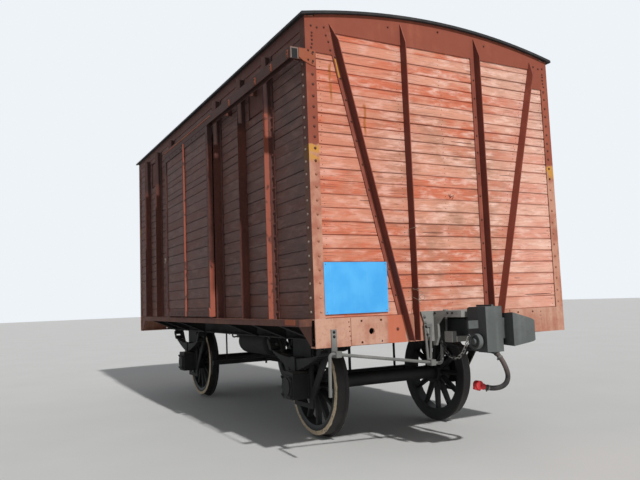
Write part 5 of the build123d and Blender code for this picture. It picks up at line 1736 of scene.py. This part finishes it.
@dataclass
class WireTie:
    """Old wire wound round the left upright of the front end, with a loose curl."""

    finishes: Finishes
    back: float = 3.226
    front: float = 3.3155
    back_edge: float = 3.238
    outer_gap: float = 0.006
    inner_gap: float = 0.014
    flange_edge: float = -0.399
    wire: float = 0.0028
    end_wire: float = 0.00252
    sides: int = 5
    turns: tuple[Pair, ...] = ((2.040, 0.012), (1.500, -0.030), (1.482, 0.012), (1.422, -0.040))
    curl_steps: int = 26
    curl_turn: float = 0.42
    curl_start: Point = (3.3215, -0.433, 1.455)
    curl_radius: float = 0.020
    curl_growth: float = 0.0009
    curl_drop: float = 0.0028
    curl_rise: float = 0.0008

    def build(self) -> list[bpy.types.Object]:
        """Winds the wire round the upright's web and curls its end.

        Returns:
            The piece.
        """
        piece = Piece("wire_tie", WAGON, "fitting_grey", [self.finishes.wire])
        for height, sag in self.turns:
            piece.add_bar(list(self.winding(height, sag)), self.wire, self.sides, True)
        piece.add_bar(list(self.curl()), self.end_wire, self.sides)
        return [piece.build(smooth=True)]

    def winding(self, height: float, sag: float) -> Iterator[Point]:
        """Gives one turn of the wire, which sags or rises on its way round.

        Args:
            height: Where it starts and ends.
            sag: How far it moves up, or down below zero.

        Yields:
            Its points.
        """
        left, right = -UPRIGHT.foot - self.outer_gap, -UPRIGHT.foot + self.inner_gap
        flange = (self.back_edge, self.flange_edge)
        bends = [(self.back, left), (self.front, left), (self.front, right), flange]
        for number, (x, y) in enumerate(bends):
            next_x, next_y = bends[(number + 1) % len(bends)]
            for share in (0.0, 0.33, 0.67):
                swing = sag * math.sin(math.pi * (number + share) / len(bends))
                yield x + (next_x - x) * share, y + (next_y - y) * share, height + swing

    def curl(self) -> Iterator[Point]:
        """Gives the loose end, a widening curl that sinks as it turns.

        Yields:
            Its points.
        """
        x, y, z = self.curl_start
        for step in range(self.curl_steps):
            turn, reach = step * self.curl_turn, self.curl_radius + self.curl_growth * step
            across, up = reach * math.cos(turn), reach * math.sin(turn)
            yield x + self.curl_rise * step, y + across, z - self.curl_drop * step + up


@dataclass(frozen=True)
class Crack:
    """An open crack: where it starts and stops across the front end, its height and half width."""

    start: float
    stop: float
    height: float
    half_width: float


@dataclass
class BoardScars:
    """Open cracks in the front end's boards, as dark slivers, and a splintered knot."""

    finishes: Finishes
    cracks: tuple[Crack, ...] = (
        Crack(0.948, 1.317, 1.404, 0.0035),
        Crack(-0.300, -0.060, 2.015, 0.0016),
        Crack(0.100, 0.360, 2.915, 0.0018),
        Crack(-0.980, -0.800, 2.290, 0.0018),
        Crack(0.700, 0.900, 2.620, 0.0016),
    )
    crack_steps: int = 14
    crack_wave: float = 0.3
    crack_tip: float = 0.15
    crack_back: float = -0.006
    crack_front: float = 0.0004
    knot: Pair = (0.060, 2.362)
    splinters: int = 7
    seed: int = 77
    splinter_lean: float = 1.2
    splinter_spread: float = 0.02
    splinter_reach: Pair = (0.020, 0.030)
    splinter_back: float = -0.004
    splinter_out: float = 0.012
    splinter_radius: float = 0.0022

    def build(self) -> list[bpy.types.Object]:
        """Makes the slivers and the knot's splinters.

        Returns:
            The piece.
        """
        piece = Piece("end_board_scars", WAGON, "end_boards", [self.finishes.rusty_bolts])
        where = on_end(1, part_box("end_wall_front")[1].x)
        draw = random.Random(self.seed)
        for crack in self.cracks:
            piece.add_prism(self.sliver(crack, draw), where, self.crack_back, self.crack_front)
        for _ in range(self.splinters):
            lean = draw.uniform(-self.splinter_lean, self.splinter_lean)
            spread = self.splinter_spread
            across, up = (place + draw.uniform(-spread, spread) for place in self.knot)
            tip_across = across + self.splinter_reach[0] * math.sin(lean)
            tip_up = up + self.splinter_reach[1] * math.cos(lean)
            line = [where(across, up, self.splinter_back), where(tip_across, tip_up, self.splinter_out)]
            piece.add_bar(line, self.splinter_radius, 4)
        return [piece.build()]

    def sliver(self, crack: Crack, draw: random.Random) -> list[Pair]:
        """Draws the outline of one crack, tapered and a little wavy.

        Args:
            crack: The crack.
            draw: Source of its waves.

        Returns:
            The outline.
        """
        upper, lower = [], []
        for step in range(self.crack_steps + 1):
            share = step / self.crack_steps
            along = crack.start + (crack.stop - crack.start) * share
            middle = crack.height + draw.uniform(-self.crack_wave, self.crack_wave) * crack.half_width
            swell = crack.half_width * (self.crack_tip + math.sin(math.pi * share) ** 0.5)
            upper.append((along, middle + swell))
            lower.append((along, middle - swell))
        return lower + upper[::-1]


@dataclass
class Sign:
    """The blank blue notice plate on the front end, over the sill, with a screw at each corner."""

    finishes: Finishes
    left: float = -1.372
    right: float = -0.730
    low: float = 1.298
    high: float = 1.742
    stand_off: float = 0.002
    thickness: float = 0.003
    bow: float = 0.003
    screw_inset: float = 0.018
    screw_radius: float = 0.0055
    screw_rise: float = 0.003
    columns: int = 12
    rows: int = 8

    def build(self) -> list[bpy.types.Object]:
        """Makes the slightly bowed plate in front of the boards.

        Returns:
            The plate.
        """
        piece = Piece("notice_plate", WAGON, "fitting_grey", [self.finishes.sign, self.finishes.grey_steel])
        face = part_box("corner_posts")[1].x + self.stand_off
        piece.add_points(self.layer(face + self.thickness))
        piece.add_points(self.layer(face))
        stride = self.columns + 1
        layer = stride * (self.rows + 1)
        for row in range(self.rows):
            for column in range(self.columns):
                here = row * stride + column
                quad = (here, here + 1, here + stride + 1, here + stride)
                piece.add_face(quad, 0)
                piece.add_face([layer + point for point in reversed(quad)], 1)
        rim = self.rim(stride)
        for here, after in zip(rim, rim[1:] + rim[:1]):
            piece.add_face((after, here, layer + here, layer + after), 1)
        for y in (self.left + self.screw_inset, self.right - self.screw_inset):
            for z in (self.low + self.screw_inset, self.high - self.screw_inset):
                spot = (face + self.thickness, y, z)
                piece.add_dome(spot, Vector((1, 0, 0)), self.screw_radius, self.screw_rise, pick=1)
        return [piece.build()]

    def layer(self, face: float) -> list[Point]:
        """Gives the points of one face of the plate, row by row.

        Args:
            face: The face's x at the plate's edges.

        Returns:
            The points.
        """
        points = []
        for row in range(self.rows + 1):
            for column in range(self.columns + 1):
                across, up = column / self.columns, row / self.rows
                out = face + self.bow * math.sin(math.pi * across) * math.sin(math.pi * up)
                y = self.left + (self.right - self.left) * across
                points.append((out, y, self.low + (self.high - self.low) * up))
        return points

    def rim(self, stride: int) -> list[int]:
        """Gives the numbers of a layer's points round its edge.

        Args:
            stride: How many points a row has.

        Returns:
            The numbers, in order.
        """
        bottom = list(range(self.columns))
        right = [row * stride + self.columns for row in range(self.rows)]
        top = [self.rows * stride + column for column in range(self.columns, 0, -1)]
        left = [row * stride for row in range(self.rows, 0, -1)]
        return bottom + right + top + left


@dataclass
class BrakeHose:
    """The front end's brake hose, which hangs from its cock and turns up to its coupling head."""

    finishes: Finishes
    length: float = 0.571
    diameter: float = 0.046
    route: tuple[Point, ...] = (
        (3.455, 0.308, 0.865),
        (3.505, 0.316, 0.812),
        (3.532, 0.330, 0.744),
        (3.540, 0.346, 0.674),
        (3.540, 0.326, 0.612),
        (3.537, 0.270, 0.578),
        (3.532, 0.195, 0.570),
        (3.528, 0.119, 0.578),
        (3.524, 0.060, 0.594),
    )
    clamp_shares: Pair = (0.045, 0.95)
    clamp_half: float = 0.008
    clamp_gap: float = 0.0002
    clamp_reach: float = 0.0032
    clamp_steps: int = 24
    lug_gap: float = 0.003
    lug_half: float = 0.014
    lug_radius: float = 0.0045
    screw_size: Pair = (0.008, 0.006)

    def build(self) -> list[bpy.types.Object]:
        """Makes the hose and its clamps.

        Returns:
            The hose and the clamps.
        """
        curve = self.line()
        clamps = self.clamps(curve)
        curve.bevel_depth = self.diameter / 2
        curve.bevel_resolution = 6
        curve.use_fill_caps = True
        curve.materials.append(self.finishes.hose)
        hose = bpy.data.objects.new("brake_hose_tube", curve)
        bpy.context.scene.collection.objects.link(hose)
        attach(hose, WAGON)
        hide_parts("brake_hose")
        return [hose, clamps]

    def line(self) -> bpy.types.Curve:
        """Makes the smooth curve along the route, rounding its corners and still without thickness.

        Returns:
            The curve.
        """
        curve = bpy.data.curves.new("brake_hose_line", "CURVE")
        curve.dimensions = "3D"
        curve.resolution_u = 14
        spline = curve.splines.new("NURBS")
        spline.points.add(len(self.route) - 1)
        for point, place in zip(spline.points, self.route):
            point.co = (*place, 1.0)
        spline.order_u = 3
        spline.use_endpoint_u = True
        return curve

    def clamps(self, curve: bpy.types.Curve) -> bpy.types.Object:
        """Puts a band clamp with its screw near each end of the hose.

        Args:
            curve: The hose's line.

        Returns:
            The piece.
        """
        sample = bpy.data.objects.new("hose_line_sample", curve)
        mesh = bpy.data.meshes.new_from_object(sample)
        track = [vertex.co.copy() for vertex in mesh.vertices]
        bpy.data.objects.remove(sample)
        bpy.data.meshes.remove(mesh)
        piece = Piece("hose_clamps", WAGON, "fitting_grey", [self.finishes.grey_steel])
        for share in self.clamp_shares:
            number = min(len(track) - 2, max(1, round(share * (len(track) - 1))))
            way = (track[number + 1] - track[number - 1]).normalized()
            self.clamp(piece, track[number], way)
        return piece.build()

    def clamp(self, piece: Piece, middle: Vector, way: Vector) -> None:
        """Adds one clamp: its band, the lug across it and the screw's head.

        Args:
            piece: The mesh that takes it.
            middle: Its place on the hose's line.
            way: The line's direction there.
        """
        inner = self.diameter / 2 + self.clamp_gap
        outer = self.diameter / 2 + self.clamp_reach
        profile = oblong(inner, outer, -self.clamp_half, self.clamp_half)
        across = way.orthogonal().normalized()
        other = way.cross(across)
        rings = []
        for step in range(self.clamp_steps):
            turn = 2 * math.pi * step / self.clamp_steps
            spoke = across * math.cos(turn) + other * math.sin(turn)
            rings.append([tuple(middle + spoke * reach + way * shift) for reach, shift in profile])
        piece.add_rings(rings, closed=True)
        lug = middle + across * (outer + self.lug_gap)
        line = [tuple(lug + other * shift) for shift in (-self.lug_half, 0.0, self.lug_half)]
        piece.add_bar(line, self.lug_radius)
        piece.add_dome(line[-1], other, *self.screw_size, 6)


@dataclass
class Dresser:
    """Gives each node of the frame that still shows its finish."""

    finishes: Finishes

    def plan(self) -> dict[str, bpy.types.Material]:
        """Says which node takes which finish.

        Returns:
            The finish by the node's name.
        """
        looks = self.finishes
        hatches = [f"hatch_{end}_{side}" for end, _ in ENDS for side, _ in SIDES]
        rows = (
            (looks.corner_steel, ("corner_posts",)),
            (looks.red_steel, ("end_heads",)),
            (looks.side_steel, ("side_posts", "door_left_frame", "door_right_frame", "hatch_hinges")),
            (looks.header_steel, ("cant_rails", *hatches)),
            (looks.guide_steel, ("door_guides",)),
            (looks.sill_steel, ("end_sill_front", "end_sill_rear")),
            (looks.rail_steel, ("door_rails", "side_sills")),
            (looks.roof_steel, ("roof",)),
            (looks.coupler_steel, ("coupler_front", "coupler_rear")),
            (looks.grey_steel, ("uncoupling_levers",)),
            (looks.striker_steel, ("striker_castings", "lever_chains")),
            (looks.red_fitting, ("hose_coupling",)),
            (looks.side_boards, ("door_headers",)),
            (looks.inner_side_boards, ("floor", "carlines")),
        )
        return {node: finish for finish, nodes in rows for node in nodes}

    def dress(self) -> None:
        """Gives each node its finish; what the plan leaves out is running gear."""
        planned = self.plan()
        for node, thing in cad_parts.items():
            finish = planned.get(node, self.finishes.black_steel)
            if node.startswith("wheelset"):
                low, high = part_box(node)
                centre = ((low.x + high.x) / 2, 0.0, (low.z + high.z) / 2)
                finish = WheelPaint(f"{node}_paint", centre).make()
            thing.data.materials.clear()
            thing.data.materials.append(finish)
        log.info("dressed %d nodes", len(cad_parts))


@dataclass
class Studio:
    """The floor, the lamp, the sky and the camera."""

    camera_place: Point = (8.0301, -3.9731, 1.4164)
    azimuth: float = 61.7595
    rise: float = -5.3935
    roll: float = -2.1348
    focal_pixels: float = 643.43
    picture_width: float = 640.0
    sensor: float = 36.0
    floor_half: float = 90.0
    floor_grey: Colour = paint(204, 203, 200)
    floor_pale: Colour = paint(214, 213, 210)
    sun_azimuth: float = -1.0
    sun_height: float = 40.5
    sun_spread: float = 1.8
    sun_power: float = 2.8
    sky_power: float = 0.27
    sky_colour: Colour = paint(238, 243, 248)

    def build(self) -> None:
        """Sets up the whole studio."""
        self.camera()
        self.floor()
        self.sun()
        self.sky()
        log.info("studio ready")

    def camera(self) -> None:
        """Sets the camera at the photograph's place and angle."""
        turn, rise, roll = (math.radians(angle) for angle in (self.azimuth, self.rise, self.roll))
        back = Vector((math.sin(turn) * math.cos(rise), -math.cos(turn) * math.cos(rise), math.sin(rise)))
        level = Vector((math.cos(turn), math.sin(turn), 0))
        above = back.cross(level)
        right = level * math.cos(roll) + above * math.sin(roll)
        up = above * math.cos(roll) - level * math.sin(roll)
        data = bpy.data.cameras.new("camera")
        data.sensor_width = self.sensor
        data.lens = self.focal_pixels / self.picture_width * self.sensor
        camera = bpy.data.objects.new("camera", data)
        turned = Matrix((right, up, back)).transposed().to_4x4()
        camera.matrix_world = Matrix.Translation(self.camera_place) @ turned
        bpy.context.scene.collection.objects.link(camera)
        bpy.context.scene.camera = camera

    def floor(self) -> None:
        """Lays a plain pale floor."""
        mesh = bpy.data.meshes.new("floor_plane")
        half = self.floor_half
        mesh.from_pydata([(x, y, 0) for x, y in oblong(-half, half, -half, half)], [], [(0, 1, 2, 3)])
        graph = Graph("pale_floor")
        colour = graph.mix(graph.noise(graph.place, 0.8, 3), self.floor_grey, self.floor_pale)
        mesh.materials.append(graph.finish(colour, 0.9))
        floor = bpy.data.objects.new("floor_plane", mesh)
        bpy.context.scene.collection.objects.link(floor)

    def sun(self) -> None:
        """Hangs a small sun before the front end, so that it hardly grazes the sides."""
        data = bpy.data.lights.new("key_lamp", "SUN")
        data.energy = self.sun_power
        data.angle = math.radians(self.sun_spread)
        lamp = bpy.data.objects.new("key_lamp", data)
        turn, height = math.radians(self.sun_azimuth), math.radians(self.sun_height)
        level = Vector((math.cos(turn), math.sin(turn), 0)) * math.cos(height)
        toward = level + Vector((0, 0, math.sin(height)))
        lamp.rotation_mode = "QUATERNION"
        lamp.rotation_quaternion = toward.to_track_quat("Z", "Y")
        bpy.context.scene.collection.objects.link(lamp)

    def sky(self) -> None:
        """Sets an even sky, which the camera and reflections see at full strength."""
        world = bpy.data.worlds.new("sky")
        world.use_nodes = True
        tree = world.node_tree
        tree.nodes.clear()
        path = tree.nodes.new("ShaderNodeLightPath")
        seen = tree.nodes.new("ShaderNodeMath")
        seen.operation = "MAXIMUM"
        tree.links.new(path.outputs["Is Camera Ray"], seen.inputs[0])
        tree.links.new(path.outputs["Is Glossy Ray"], seen.inputs[1])
        strength = tree.nodes.new("ShaderNodeMapRange")
        strength.inputs["To Min"].default_value = self.sky_power
        strength.inputs["To Max"].default_value = 1.0
        tree.links.new(seen.outputs[0], strength.inputs["Value"])
        backdrop = tree.nodes.new("ShaderNodeBackground")
        backdrop.inputs["Color"].default_value = self.sky_colour
        tree.links.new(strength.outputs["Result"], backdrop.inputs["Strength"])
        output = tree.nodes.new("ShaderNodeOutputWorld")
        tree.links.new(backdrop.outputs[0], output.inputs[0])
        bpy.context.scene.world = world
        bpy.context.scene.view_settings.view_transform = "Standard"


def main() -> None:
    """Builds the wagon's looks in order and reports each piece."""
    logging.basicConfig(level=logging.INFO, format="%(message)s")
    Studio().build()
    finishes = Finishes()
    Dresser(finishes).dress()
    boarding = Boarding()
    assemblies = (
        EndWalls(boarding, finishes),
        SideWalls(boarding, finishes),
        Doors(boarding, finishes),
        EndPosts(finishes),
        RailFittings(finishes),
        DoorFittings(boarding, finishes),
        GuideFittings(finishes),
        Bolts(boarding, finishes),
        EndNails(boarding, finishes),
        DrawGearBolts(finishes),
        WireTie(finishes),
        BoardScars(finishes),
        Sign(finishes),
        BrakeHose(finishes),
    )
    for assembly in assemblies:
        for piece in assembly.build():
            log.info("%s: %s", type(assembly).__name__, piece.name)


if __name__ == "__main__":
    main()
